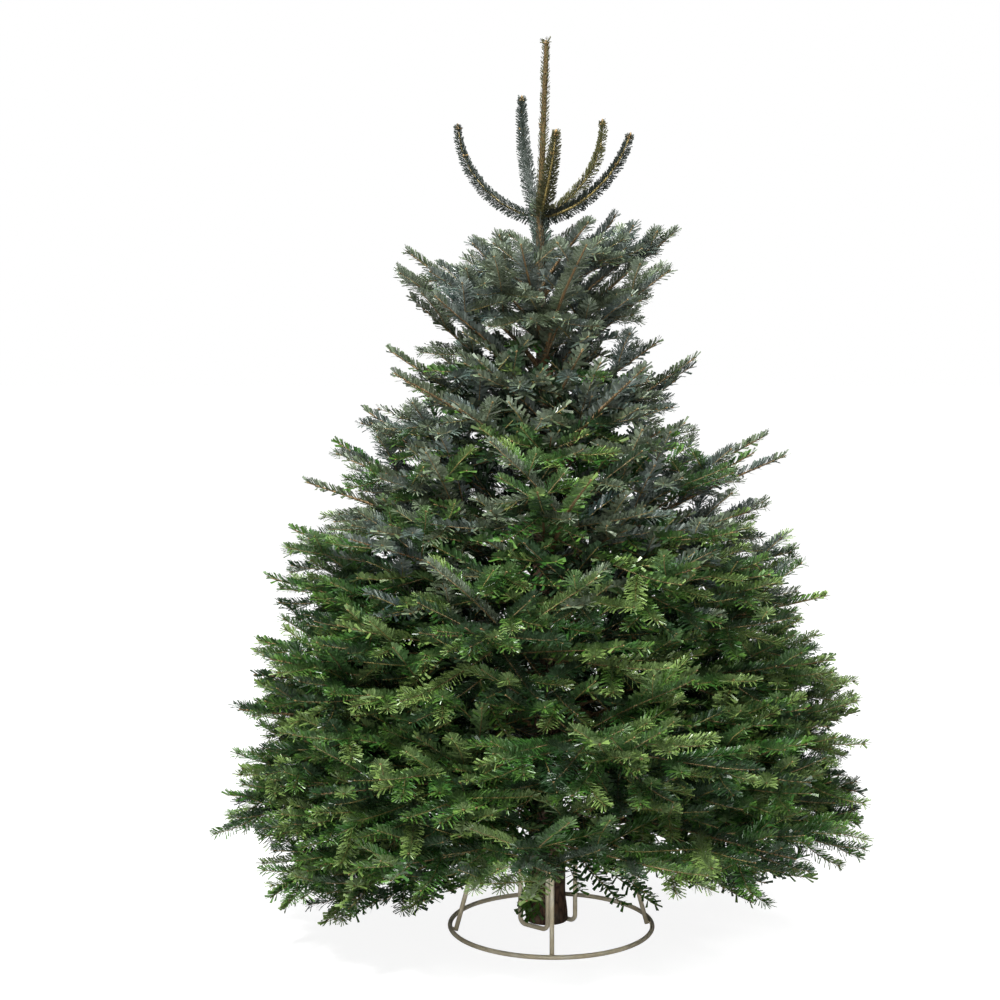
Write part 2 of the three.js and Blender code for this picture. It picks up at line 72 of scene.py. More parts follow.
# ---- the trunk: height, radius, sway in X, sway in Y ----
TRUNK = [
    (16.92, 45.5, -10, -3), (24.92, 47, -10, -3), (70, 43, -10, -2), (240, 38, -11, 3),
    (400, 34, -12, 5), (560, 30, -15, 5), (760, 25, -18, 2), (980, 19.5, -19, -2),
    (1235, 13.5, -22, -4), (1400, 10.5, -25, -3), (1565, 8.5, -27, 0), (1610, 6.5, -26, 0),
    (1760, 5.8, -21, 2), (1915, 5, -15, 2), (1928, 5.2, -15, 2), (1936, 2.5, -15, 2),
]
TRUNK_SIDES = 44
TRUNK_STEP = 9.0

# ---- the boughs, tier by tier ----
TIER_BOUGHS = 4
TIERS = [
    dict(height=1235, first=187, reach=302, lift=0, rise=54, fall=26, years=2, bare=0.24, spacing=96),
    dict(height=980, first=215, reach=412, lift=0, rise=46, fall=30, years=3, bare=0.26, spacing=92),
    dict(height=745, first=190, reach=540, lift=0, rise=39, fall=30, years=4, bare=0.28, spacing=88),
    dict(height=545, first=262, reach=628, lift=0, rise=31, fall=28, years=5, bare=0.3, spacing=86),
    dict(height=378, first=196, reach=694, lift=0, rise=25, fall=25, years=6, bare=0.32, spacing=84),
    dict(height=228, first=178, reach=728, lift=9, rise=11, fall=20, years=7, bare=0.32, spacing=84),
]
BOUGH_JITTER = 7.0
BOUGH_TURN = 8.0
BOUGH_RISE = 3.0
BOUGH_REACH = 0.03
BOUGH_HEIGHT = 14.0
TIP_LIFT = 12.0
END_REACH = 0.7
BOUGH_ROOT_RADIUS = 3.2
YEAR_RADIUS = 1.0
TIP_RADIUS = 1.4
TIER_SEED = 100
BOUGH_SEED = 17
HIGH_BARE = 0.15  # the share of a thin bough that stays bare by the trunk, high and low in the crown
LOW_BARE = 0.4
# Boughs between the tiers.
LONE_SEED = 60
LONE_BOUGHS = [
    dict(height=1395, azimuth=344, rise=40, fall=-8, length=262, bare=0.05, coat=38, years=1, spacing=96),
    dict(height=1405, azimuth=165, rise=38, fall=4, length=190, bare=0.05, coat=38, years=1, spacing=96),
    dict(height=300, azimuth=225, rise=7, fall=43, length=650, bare=0.2, coat=62, years=4, spacing=84),
]
# Thin boughs that fill the crown between the tiers: they wind up the trunk by the golden angle, and end at
# the crown's outline.
FILL_BOUGHS = 38
FILL_FROM = 215.0
FILL_TO = 1470.0
FILL_CROWDS = 1.25  # more of them stand low on the trunk
FILL_FIRST = 40.0
FILL_LENGTH = 760.0
FILL_SHORTEST = 100.0
FILL_SPACING = 86
FILL_TURN = 10.0
FILL_MARGIN = (4.0, 40.0)  # how far inside the outline they end: least, and by chance
FILL_HIGH = 1050.0
FILL_SEED = 900
LOW_SAG = 40.0  # how much less the lowest ones rise
GOLDEN_ANGLE = 137.508
# Boughs whose tips stand out of the crown at its sides: azimuth, and the tip's height and reach.
LONG_TIPS = [
    (184, 1452, 330), (176, 1392, 306), (180, 1278, 352), (186, 1226, 338), (172, 1146, 415),
    (184, 1082, 470), (194, 1050, 450), (178, 886, 572), (171, 760, 598), (184, 650, 645),
    (190, 588, 655), (176, 536, 660), (186, 372, 684), (180, 222, 722), (200, 130, 640),
    (2, 1530, 270), (-8, 1390, 225), (-6, 1376, 212), (-10, 1298, 268), (4, 1262, 350),
    (9, 1216, 318), (-2, 1096, 500), (-8, 1060, 470), (6, 946, 510), (-4, 852, 560),
    (3, 735, 575), (-6, 612, 640), (2, 526, 668), (5, 452, 668), (-3, 310, 715),
    (8, 318, 700), (5, 225, 700), (196, 92, 600), (206, 80, 540),
]
LONG_SEED = 2100
LONG_SPACING = 92
LONG_DROP = 0.2  # how far below its tip a bough's slope is read, against its reach
LONG_HIGH = 1250.0
LONG_EASE = 15.0  # how much further out their side shoots may reach
# The newest tier: azimuth, rise, length, how far the rise grows to the tip.
TOP_HEIGHT = 1562
TOP_SEED = 50
TOP_SHORTER = 10.0
TOP_SHOOTS = [
    (152, 9, 317, 79),
    (105, 35, 328, 59),
    (283, 42, 225, 28),
    (18, 25, 274, 68),
    (317, 5, 316, 63),
]
# Where needles stand on the leader and on the stem: from, to, length, rise.
LEADER_COAT = (1574.0, 1938.0, 366.0, 86.0)
LEADER_SEED = 77
STEM_COAT = (1400.0, 1600.0, 200.0, 88.0)
STEM_SEED = 78
STEM_AZIMUTH = 10.0
# Sprigs on the trunk's foot: height, azimuth, rise, length, fall.
FOOT_SEED = 80
FOOT_SPRIGS = [
    (235, 228, -66, 190, 10), (196, 204, -68, 165, 8), (205, 248, -70, 170, 6), (160, 222, -68, 140, 4),
    (150, 190, -62, 125, 6), (268, 302, -8, 300, 14), (262, 318, -12, 290, 10), (272, 288, -2, 250, 16),
    (255, 332, -14, 360, 6), (250, 310, -16, 350, 8), (262, 324, -4, 330, 18), (240, 300, -17, 330, 10),
    (232, 318, -20, 330, 8), (244, 336, -15, 350, 10), (236, 285, -14, 270, 12), (226, 308, -24, 240, 4),
    (258, 345, -10, 270, 12),
]
# Short inner boughs that close the crown round the trunk: lowest, highest, count, first azimuth, length.
INNER_BOUGHS = (520.0, 1330.0, 22, 200.0, 330.0)
INNER_SEED = 3300
INNER_SPACING = 74
INNER_REACH = 0.62  # against the crown's radius a little higher up
INNER_LIFT = 80.0
# The crown's outline: height, radius on the left and on the right.
OUTLINE = [
    (40, 400, 100), (85, 530, 500), (128, 610, 620), (170, 680, 715), (219, 745, 735),
    (264, 735, 715), (309, 715, 750), (354, 715, 660), (400, 715, 690), (444, 705, 715),
    (545, 710, 715), (590, 665, 675), (650, 660, 635), (700, 625, 585), (845, 620, 595),
    (889, 602, 530), (925, 510, 520), (955, 490, 440), (990, 465, 415), (1063, 475, 440),
    (1100, 430, 380), (1150, 415, 265), (1194, 325, 280), (1250, 305, 225), (1324, 280, 190),
    (1366, 315, 235), (1450, 345, 275), (1500, 300, 285), (1530, 85, 265), (1570, 85, 100),
    (1610, 60, 60),
]

# ---- the branching rule ----
PAIRS = [(92.0, 1.0), (134.0, 0.8), (46.0, 0.8)]  # roll about the parent, and share of a full length
LINE_STEPS = 24
SIDE_ANGLE = 70.0
SIDE_NARROWS = 26.0
SIDE_TURN = 14.0
SIDE_LEVEL = 0.5
SIDE_SHARE = [1.02, 0.72, 0.66]  # by order
SIDE_EXTRA = [40.0, 34.0, 30.0]
SIDE_WIDER = [1.0, 1.05, 1.1]  # spacing of pairs against the bough's, by order
SIDE_FIRST = 0.12  # how far into its stretch each pair stands, so that the last stretch is bare
SIDE_STRAYS = 0.22  # and how far it may stray from there
ORDERS = 3
THIRD_FROM = 230.0  # the shortest shoot that branches a third time
SIDE_VARIES = dict(length=0.14, angle=6.0, roll=12.0)
SIDE_BARE = [0.0, 0.12, 0.2]
MARGIN = [16.0, 16.0, 44.0, 66.0]  # how far inside the outline a shoot's tip ends, by order
MARGIN_VARIES = [20.0, 30.0, 60.0, 60.0]
SHORTEST = 56.0
SHOOT_TIP = 0.8
SHOOT_TAPER = 0.0045  # how much thicker a shoot's root is, against its length
CUT_BACK = 0.93
FLOOR_CLEAR = 60.0
FRONT_CLEAR = 205.0
FRONT_NARROWS = (3.0, 1.6)  # left and right

# ---- needle sizes ----
NEEDLE_LENGTH = 29.0
NEEDLE_WIDTH = 2.75
NEEDLE_TRIANGLES = 2
NEEDLES_PER_MM = 1.14
UPPER_FROM = 1150.0  # shoots above this height have more needles
UPPER_DENSER = 1.3
LIMB_DENSER = 1.5  # needles along the boughs themselves
INNER_DEPTH = 0.62  # shoots deeper in the crown than this share of its radius have fewer, broader needles
INNER_TOP = 1300.0
INNER_SHARE = 0.33
INNER_BROADER = 2.5
COMB_REACH = 118.0  # how far round a shoot its needles stand, from straight up
COMB_POWER = 1.3
SLANT = 57.0  # a needle's angle to its shoot
SLANT_ABOVE = 15.0  # and how much less it is on top
TIP_NARROWS = 24.0  # the last stretch, where needles close in on the shoot
TUFT = 11  # short needles that spread round the end of a shoot
TUFT_REACH = 6.0
TUFT_SLANT = 18.0
TIP_HIGHLIGHT_STRETCH = 34.0  # the end of an outer shoot, in a lighter green: partly the young growth's own colour, partly a painted highlight
PIECE_TRIANGLES = 190000

NEEDLE_SEED = 20
rng = np.random.default_rng(NEEDLE_SEED)


# ---- camera ----
CAMERA_PLACE = (-0.1137, -4.2, 1.37)
CAMERA_LOOKS_DOWN = 5.66
LENS = 69.7


def make_camera():
    data = bpy.data.cameras.new("camera")
    data.sensor_width = 36.0
    data.lens = LENS
    camera = bpy.data.objects.new("camera", data)
    camera.location = CAMERA_PLACE
    camera.rotation_euler = (math.radians(90.0 - CAMERA_LOOKS_DOWN), 0.0, 0.0)
    bpy.context.scene.collection.objects.link(camera)
    bpy.context.scene.camera = camera


make_camera()


# ---- node helpers ----
def feed(tree, node, values):
    """Gives each named input of a node another node's output, a number, a vector or a colour."""
    for key, value in values.items():
        socket = node.inputs[key]
        if isinstance(value, bpy.types.NodeSocket):
            tree.links.new(value, socket)
        else:
            socket.default_value = (*value, 1.0) if socket.type == "RGBA" else value


def node_of(tree, kind, inputs=None, **settings):
    node = tree.nodes.new("ShaderNode" + kind)
    for key, value in settings.items():
        setattr(node, key, value)
    feed(tree, node, inputs or {})
    return node


def ramp_of(tree, factor, stops):
    ramp = node_of(tree, "ValToRGB", {"Fac": factor})
    elements = ramp.color_ramp.elements
    while len(elements) < len(stops):
        elements.new(0.5)
    for element, (place, colour) in zip(elements, stops):
        element.position = place
        element.color = (*colour, 1.0)
    return ramp.outputs["Color"]


def math_of(tree, operation, first, second, clamp=False):
    return node_of(tree, "Math", {0: first, 1: second}, operation=operation, use_clamp=clamp).outputs[0]


def mix_colour(tree, factor, first, second):
    return node_of(tree, "Mix", {0: factor, 6: first, 7: second}, data_type="RGBA").outputs[2]


def ranged(tree, value, low, high, to_low=0.0, to_high=1.0):
    """A value moved from one range into another, and held inside it."""
    inputs = {"Value": value, "From Min": low, "From Max": high, "To Min": to_low, "To Max": to_high}
    return node_of(tree, "MapRange", inputs).outputs[0]


def noise_of(tree, place, scale, detail, roughness=0.5):
    inputs = {"Vector": place, "Scale": scale, "Detail": detail, "Roughness": roughness}
    return node_of(tree, "TexNoise", inputs).outputs["Fac"]


def bump_of(tree, height, strength, distance):
    inputs = {"Height": height, "Strength": strength, "Distance": distance}
    return node_of(tree, "Bump", inputs).outputs[0]


def object_position(tree):
    return tree.nodes.new("ShaderNodeTexCoord").outputs["Object"]


def height_of(tree, vector):
    return node_of(tree, "SeparateXYZ", {"Vector": vector}).outputs["Z"]


def material_of(name):
    material = bpy.data.materials.new(name)
    material.use_nodes = True
    tree = material.node_tree
    return material, tree, tree.nodes["Principled BSDF"]


# ---- effects that several materials share ----
def group_of(name, inputs, outputs):
    """An empty shader node group with named sockets, and its two end nodes."""
    group = bpy.data.node_groups.new(name, "ShaderNodeTree")
    for label, kind, value in inputs:
        socket = group.interface.new_socket(label, in_out="INPUT", socket_type="NodeSocket" + kind)
        if value is not None:
            socket.default_value = value
    for label, kind in outputs:
        group.interface.new_socket(label, in_out="OUTPUT", socket_type="NodeSocket" + kind)
    return group, group.nodes.new("NodeGroupInput").outputs, group.nodes.new("NodeGroupOutput")


def make_bark_group():
    """Furrowed bark: ridges that run along the limb, lichen blotches, and the height of both."""
    group, given, made = group_of(
        "bark_furrows",
        [
            ("Position", "Vector", None),
            ("Ridge Colour", "Color", (0.3, 0.2, 0.12, 1.0)),
            ("Furrow Colour", "Color", (0.1, 0.06, 0.04, 1.0)),
            ("Lichen Colour", "Color", (0.35, 0.34, 0.28, 1.0)),
            ("Lichen", "Float", 0.3),
            ("Scale", "Float", 1.0),
        ],
        [("Color", "Color"), ("Height", "Float"), ("Roughness", "Float")],
    )
    place = {0: given["Position"], "Scale": given["Scale"]}
    scaled = node_of(group, "VectorMath", place, operation="SCALE").outputs[0]
    squeezed = node_of(group, "Mapping", {"Vector": scaled, "Scale": (1.0, 1.0, 0.34)}).outputs[0]
    cells = {"Vector": squeezed, "Scale": 95.0, "Randomness": 1.0}
    cracks = node_of(group, "TexVoronoi", cells, feature="DISTANCE_TO_EDGE").outputs["Distance"]
    grain = noise_of(group, squeezed, 260.0, 6.0, 0.65)
    ridge = math_of(group, "MULTIPLY", ranged(group, cracks, 0.0, 0.16), grain)
    body = mix_colour(group, ridge, given["Furrow Colour"], given["Ridge Colour"])
    blotches = ranged(group, noise_of(group, scaled, 26.0, 5.0), 0.52, 0.68)
    lichen = math_of(group, "MULTIPLY", blotches, given["Lichen"])
    results = {
        "Color": mix_colour(group, lichen, body, given["Lichen Colour"]),
        "Height": math_of(group, "ADD", ridge, math_of(group, "MULTIPLY", lichen, 0.25)),
        "Roughness": ranged(group, grain, 0.3, 0.7, 0.72, 0.95),
    }
    feed(group, made, results)
    return group


def make_dust_group():
    """Dust and small scuffs: a mask that is denser on faces that look up."""
    group, given, made = group_of(
        "dust_and_scuffs",
        [("Position", "Vector", None), ("Scale", "Float", 60.0), ("Amount", "Float", 0.5)],
        [("Mask", "Float"), ("Speckle", "Float")],
    )
    patches = ranged(group, noise_of(group, given["Position"], given["Scale"], 6.0), 0.42, 0.7)
    facing = group.nodes.new("ShaderNodeNewGeometry").outputs["Normal"]
    upward = ranged(group, height_of(group, facing), -0.2, 1.0, 0.3, 1.0)
    dust = math_of(group, "MULTIPLY", patches, upward)
    mask = math_of(group, "MULTIPLY", dust, given["Amount"], clamp=True)
    feed(group, made, {"Mask": mask, "Speckle": noise_of(group, given["Position"], 900.0, 2.0)})
    return group


BARK_GROUP = make_bark_group()
DUST_GROUP = make_dust_group()


# ---- materials ----
def dusty_of(tree, place, scale, amount):
    """The dust mask and the speckle of a material."""
    dusty = node_of(
        tree, "Group", {"Position": place, "Scale": scale, "Amount": amount}, node_tree=DUST_GROUP
    )
    return dusty.outputs["Mask"], dusty.outputs["Speckle"]


OLD_BARK = {
    "Ridge Colour": (0.2, 0.115, 0.07),
    "Furrow Colour": (0.035, 0.02, 0.015),
    "Lichen Colour": (0.24, 0.2, 0.15),
    "Lichen": 0.35,
    "Scale": 1.0,
}
BOUGH_BARK = {
    "Ridge Colour": (0.29, 0.185, 0.085),
    "Furrow Colour": (0.12, 0.075, 0.036),
    "Lichen Colour": (0.28, 0.23, 0.14),
    "Lichen": 0.3,
    "Scale": 2.2,
}
YOUNG_BARK = (0.09, 0.06, 0.021)
YOUNG_FURROW = (0.045, 0.03, 0.0105)


def bark_material(name, looks, bump, dust, young_from=None):
    """Bark that is furrowed and dark when old; between two heights it turns into smooth olive young bark."""
    material, tree, shader = material_of(name)
    place = object_position(tree)
    bark = node_of(tree, "Group", {"Position": place, **looks}, node_tree=BARK_GROUP).outputs
    mask, _ = dusty_of(tree, place, 18.0, dust)
    colour = mix_colour(tree, mask, bark["Color"], looks["Lichen Colour"])
    if young_from:
        young = mix_colour(tree, bark["Height"], YOUNG_FURROW, YOUNG_BARK)
        colour = mix_colour(tree, ranged(tree, height_of(tree, place), *young_from), colour, young)
    relief = bump_of(tree, bark["Height"], bump, 0.002)
    feed(tree, shader, {"Base Color": colour, "Roughness": bark["Roughness"], "Normal": relief})
    shader.inputs["Specular IOR Level"].default_value = 0.25
    return material


def stand_material():
    """Satin paint of a pale champagne colour, with dust on what looks up."""
    material, tree, shader = material_of("stand_champagne_paint")
    place = object_position(tree)
    mask, speckle = dusty_of(tree, place, 42.0, 0.55)
    shades = [(0.3, (0.76, 0.65, 0.44)), (0.52, (0.87, 0.77, 0.56)), (0.7, (0.92, 0.85, 0.67))]
    paint = ramp_of(tree, noise_of(tree, place, 34.0, 4.0), shades)
    looks = {
        "Base Color": mix_colour(tree, mask, paint, (0.34, 0.3, 0.23)),
        "Roughness": ranged(tree, speckle, 0.3, 0.7, 0.3, 0.48),
        "Normal": bump_of(tree, speckle, 0.12, 0.0004),
        "Coat Weight": 0.25,
        "Coat Roughness": 0.3,
    }
    feed(tree, shader, looks)
    return material


def needle_material(name, upper, under, wax):
    """Waxed needles: one plain green above, one paler below."""
    material, tree, shader = material_of(name)
    facing = tree.nodes.new("ShaderNodeNewGeometry").outputs["Backfacing"]
    colour = mix_colour(tree, facing, upper, under)
    feed(tree, shader, {"Base Color": colour, "Roughness": 0.42, "Coat Weight": wax, "Coat Roughness": 0.42})
    return material


def twig_material(name, low, high, rough):
    """Twig bark and bud scales: two speckled browns with a fine relief."""
    material, tree, shader = material_of(name)
    speck = noise_of(tree, object_position(tree), 120.0, 3.0)
    colour = ramp_of(tree, speck, [(0.3, low), (0.7, high)])
    relief = bump_of(tree, speck, 0.4, 0.0006)
    feed(tree, shader, {"Base Color": colour, "Roughness": rough, "Normal": relief})
    return material


MATERIALS = {
    "stand": stand_material(),
    "trunk": bark_material("bark_trunk", OLD_BARK, 0.9, 0.3, (1.2, 1.6)),
    "bough": bark_material("bark_bough", BOUGH_BARK, 0.5, 0.2),
    "twig_old": twig_material("twig_old", (0.17, 0.115, 0.05), (0.32, 0.225, 0.105), 0.7),
    "twig_young": twig_material("twig_young", (0.19, 0.145, 0.045), (0.35, 0.27, 0.095), 0.6),
    "bud": twig_material("bud_scales", (0.12, 0.072, 0.025), (0.27, 0.18, 0.065), 0.5),
}
# Needle colours: upper face, under face.
NEEDLE_COLOURS = {
    "dusk": ((0.02, 0.028, 0.022), (0.035, 0.045, 0.036)),
    "olive": ((0.05, 0.052, 0.018), (0.07, 0.07, 0.032)),
    "blue": ((0.038, 0.066, 0.058), (0.1, 0.126, 0.114)),
    "slate": ((0.066, 0.096, 0.076), (0.125, 0.15, 0.132)),
    "dull": ((0.06, 0.09, 0.038), (0.11, 0.135, 0.085)),
    "sage": ((0.1, 0.132, 0.075), (0.135, 0.168, 0.118)),
    # The darkest green is painted shade: it stands for the shadow inside the crown and in the gaps between
    # sprays.
    "deep": ((0.008, 0.031, 0.006), (0.028, 0.058, 0.026)),
    "green": ((0.021, 0.078, 0.009), (0.05, 0.11, 0.034)),
    "moss": ((0.052, 0.122, 0.016), (0.084, 0.15, 0.05)),
    "fresh": ((0.12, 0.188, 0.045), (0.132, 0.2, 0.07)),
}
FROSTED = ("blue", "slate", "dull", "sage")
for kind, (upper, under) in NEEDLE_COLOURS.items():
    wax = 0.65 if kind in FROSTED else 0.3
    MATERIALS["needles_" + kind] = needle_material("needles_" + kind, upper, under, wax)


# ---- meshes ----
def finish_piece(name, mesh, material, nodes=()):
    mesh.materials.append(material)
    piece = bpy.data.objects.new(name, mesh)
    bpy.context.scene.collection.objects.link(piece)
    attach(piece, "root")
    if nodes:
        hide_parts(*nodes)
    return piece


def piece_from_bmesh(name, bm, material, nodes=()):
    """A smooth-shaded piece from a mesh in millimetres."""
    bmesh.ops.scale(bm, vec=(MM, MM, MM), verts=bm.verts)
    bmesh.ops.recalc_face_normals(bm, faces=bm.faces)
    for face in bm.faces:
        face.smooth = True
    mesh = bpy.data.meshes.new(name)
    bm.to_mesh(mesh)
    bm.free()
    return finish_piece(name, mesh, material, nodes)


def piece_from_arrays(name, corners, triangles, quads, material, slot, nodes=()):
    """A joined mesh of many small leaves or twigs, from arrays in millimetres."""
    mesh = bpy.data.meshes.new(name)
    mesh.vertices.add(len(corners))
    mesh.vertices.foreach_set("co", (corners * MM).astype(np.float32).ravel())
    loops = np.concatenate([triangles.ravel(), quads.ravel()]).astype(np.int32)
    sizes = np.repeat((3, 4), (len(triangles), len(quads)))
    mesh.loops.add(len(loops))
    mesh.loops.foreach_set("vertex_index", loops)
    mesh.polygons.add(len(sizes))
    mesh.polygons.foreach_set("loop_start", (np.cumsum(sizes) - sizes).astype(np.int32))
    mesh.update(calc_edges=True)
    mesh.validate()
    return finish_piece(name, mesh, material, nodes)


def sweep(bm, stations, sides):
    """A closed tube through the stations (point, radius), extruded ring by ring from a circle."""
    ring = bmesh.ops.create_circle(bm, cap_ends=False, segments=sides, radius=1.0)["verts"]
    first_ring = ring
    circle = [vert.co.copy() for vert in ring]
    loop = list({edge for vert in ring for edge in vert.link_edges})
    previous = None
    for index, (point, radius) in enumerate(stations):
        before = stations[max(index - 1, 0)][0]
        after = stations[min(index + 1, len(stations) - 1)][0]
        ahead = (after - before).normalized()
        if previous is None:
            turned = ahead.to_track_quat("Z", "Y").to_matrix()
        else:
            turned = previous.rotation_difference(ahead).to_matrix() @ turned
            made = bmesh.ops.extrude_edge_only(bm, edges=loop)["geom"]
            new = {item for item in made if isinstance(item, bmesh.types.BMVert)}
            by_old = {
                edge.other_vert(vert): vert
                for vert in new
                for edge in vert.link_edges
                if edge.other_vert(vert) not in new
            }
            ring = [by_old[vert] for vert in ring]
            edges = [item for item in made if isinstance(item, bmesh.types.BMEdge)]
            loop = [edge for edge in edges if new.issuperset(edge.verts)]
        previous = ahead
        place = Matrix.Translation(point) @ turned.to_4x4()
        for vert, local in zip(ring, circle):
            vert.co = place @ (local * radius)
    bmesh.ops.contextual_create(bm, geom=list(first_ring))
    bmesh.ops.contextual_create(bm, geom=list(ring))


# ---- lines that limbs and shoots follow ----
TRUNK_COLUMNS = np.array(TRUNK).T
OUTLINE_COLUMNS = np.array(OUTLINE).T


def chance(seed):
    value = math.sin(seed * 12.9898) * 43758.5453
    return value - math.floor(value)


def spread(seed, amount):
    return amount * (2.0 * chance(seed) - 1.0)


def trunk_at(height):
    radius, x, y = (float(np.interp(height, TRUNK_COLUMNS[0], TRUNK_COLUMNS[k])) for k in (1, 2, 3))
    return np.array((x, y, height)), radius


def headings(line, shares):
    azimuth = np.radians(line["azimuth"] + line["turn"] * shares)
    rise = np.radians(line["rise"] - line["fall"] * shares + TIP_LIFT * shares**4)
    flat = np.cos(rise)
    return np.stack([flat * np.cos(azimuth), flat * np.sin(azimuth), np.sin(rise)], axis=-1)


def axes_at(line, shares):
    ahead = headings(line, shares)
    side = np.stack([-ahead[..., 1], ahead[..., 0], np.zeros_like(shares)], axis=-1)
    side = side / np.linalg.norm(side, axis=-1, keepdims=True)
    return ahead, side, np.cross(ahead, side)


def grow_line(start, length, azimuth, rise, turn, fall):
    line = dict(length=length, azimuth=azimuth, rise=rise, turn=turn, fall=fall)
    middles = (np.arange(LINE_STEPS) + 0.5) / LINE_STEPS
    steps = headings(line, middles) * (length / LINE_STEPS)
    line["points"] = np.vstack([start, start + np.cumsum(steps, axis=0)])
    return line


def points_at(line, shares):
    ticks = np.linspace(0.0, 1.0, LINE_STEPS + 1)
    return np.stack([np.interp(shares, ticks, line["points"][:, k]) for k in range(3)], axis=-1)


def bough_line(tier, number, seed):
    azimuth = tier["first"] + 360.0 / TIER_BOUGHS * number + spread(seed, BOUGH_JITTER)
    reach = tier["reach"] * (1.0 + spread(seed + 1, BOUGH_REACH))
    turn = spread(seed + 2, BOUGH_TURN)
    rise = tier["rise"] + spread(seed + 3, BOUGH_RISE)
    rise -= tier["lift"] * min(math.sin(math.radians(azimuth)), 0.0)
    start = trunk_at(tier["height"] + spread(seed + 4, BOUGH_HEIGHT))[0]
    way = grow_line(start, 1.0, azimuth, rise, turn, tier["fall"])["points"][-1] - start
    length = (reach - NEEDLE_LENGTH * END_REACH) / math.hypot(way[0], way[1])
    return grow_line(start, length, azimuth, rise, turn, tier["fall"])


def outline_radius(point):
    """The crown's radius at a point's height and side, between its left and right outline."""
    heights, lefts, rights = OUTLINE_COLUMNS
    left = np.interp(point[2], heights, lefts, left=0.0, right=0.0)
    right = np.interp(point[2], heights, rights, left=0.0, right=0.0)
    across = point[0] / max(math.hypot(point[0], point[1]), 1.0)
    return left + (right - left) * (0.5 + 0.5 * across)


def depth_of(point):
    """How far out of the trunk a point stands, as a share of the crown's radius there."""
    return math.hypot(point[0], point[1]) / max(float(outline_radius(point)), 1.0)


def is_inside(line, margin):
    """Whether a line's tip ends inside the outline, and high enough over the floor and the stand."""
    tip = line["points"][-1]
    radius = math.hypot(tip[0], tip[1])
    front = max(0.0, -tip[1] / max(radius, 1.0))
    lowest = FLOOR_CLEAR + FRONT_CLEAR * front ** FRONT_NARROWS[int(tip[0] > 0.0)]
    return tip[2] > lowest and radius + margin <= outline_radius(tip)


def side_lines(line, seed, bare, order, spacing):
    """The course, full length and seed of a line's side shoots, in pairs, from a share of it on."""
    found = []
    pairs = int(line["length"] / (spacing * SIDE_WIDER[order]))
    for number in range(max(0, math.ceil(bare * pairs - SIDE_FIRST)), pairs):
        share = (number + SIDE_FIRST + spread(seed + number, SIDE_STRAYS)) / pairs
        if share <= 0.02:
            continue
        roll, size = PAIRS[(number + seed) % len(PAIRS)]
        full = (SIDE_SHARE[order] * (1.0 - share) * line["length"] + SIDE_EXTRA[order]) * size
        ahead, side, above = axes_at(line, np.array(share))
        for hand in (-1, 1):
            luck = seed + 10 * number + hand
            length = full * (1.0 + spread(luck, SIDE_VARIES["length"]))
            angle = math.radians(SIDE_ANGLE - SIDE_NARROWS * share + spread(luck + 3, SIDE_VARIES["angle"]))
            turned = math.radians(hand * roll + spread(luck + 6, SIDE_VARIES["roll"]))
            way = ahead * math.cos(angle)
            way = way + math.sin(angle) * (math.cos(turned) * above + math.sin(turned) * side)
            rise = math.degrees(math.asin(way[2]))
            azimuth = math.degrees(math.atan2(way[1], way[0]))
            course = dict(
                start=points_at(line, np.array(share)),
                azimuth=azimuth,
                rise=rise,
                turn=-SIDE_TURN * math.sin(turned),
                fall=SIDE_LEVEL * rise,
            )
            found.append((course, length, luck * 7 + 3))
    return found


# ---- growing the crown ----
# Orders of the shoots that no bough carries: newest tier, leader, stem and trunk's foot.
TOP = -1
LEADER = -2
STEM = -3
FOOT = 4
BOUGHS = []
SHOOTS = []


def add_bough(line, seed, bare, spacing, years=1, ease=0.0):
    BOUGHS.append(dict(line=line, seed=seed, bare=bare, spacing=spacing, years=years, ease=ease))


def add_shoot(line, order, seed, root, tip, start=0.0):
    """A shoot with needles from a share of its length on, and its radius at the root and at the tip."""
    SHOOTS.append(dict(line=line, order=order, seed=seed, root=root, tip=tip, start=start))


def grow_sides(line, seed, bare, order, spacing, ease=0.0):
    """Side shoots of a line, cut back to the crown's outline, and the shoots that they carry in turn."""
    if order >= ORDERS or (order == 2 and line["length"] < THIRD_FROM):
        return
    for course, length, luck in side_lines(line, seed, bare, order, spacing):
        margin = MARGIN[order + 1] + MARGIN_VARIES[order + 1] * chance(luck + 5) - ease
        while length >= SHORTEST:
            shoot = grow_line(length=length, **course)
            if is_inside(shoot, margin):
                add_shoot(shoot, order + 1, luck, SHOOT_TIP + SHOOT_TAPER * length, SHOOT_TIP)
                grow_sides(shoot, luck, SIDE_BARE[min(order + 1, 2)], order + 1, spacing)
                break
            length *= CUT_BACK


def slope_at(height, seed):
    """A bough's rise at the trunk and its fall to the tip, between those of the tiers above and below."""
    tiers = TIERS[::-1]
    heights = [tier["height"] for tier in tiers]
    rise = np.interp(height, heights, [tier["rise"] for tier in tiers]) + spread(seed, 4.0)
    fall = np.interp(height, heights, [tier["fall"] for tier in tiers]) + spread(seed + 1, 4.0)
    return rise - max(0.0, LOW_SAG * (1.0 - height / heights[0])), fall


def grow_tiers():
    for t, tier in enumerate(TIERS):
        for number in range(TIER_BOUGHS):
            seed = TIER_SEED * (t + 1) + BOUGH_SEED * number
            line = bough_line(tier, number, seed)
            add_bough(line, seed, tier["bare"], tier["spacing"], tier["years"])


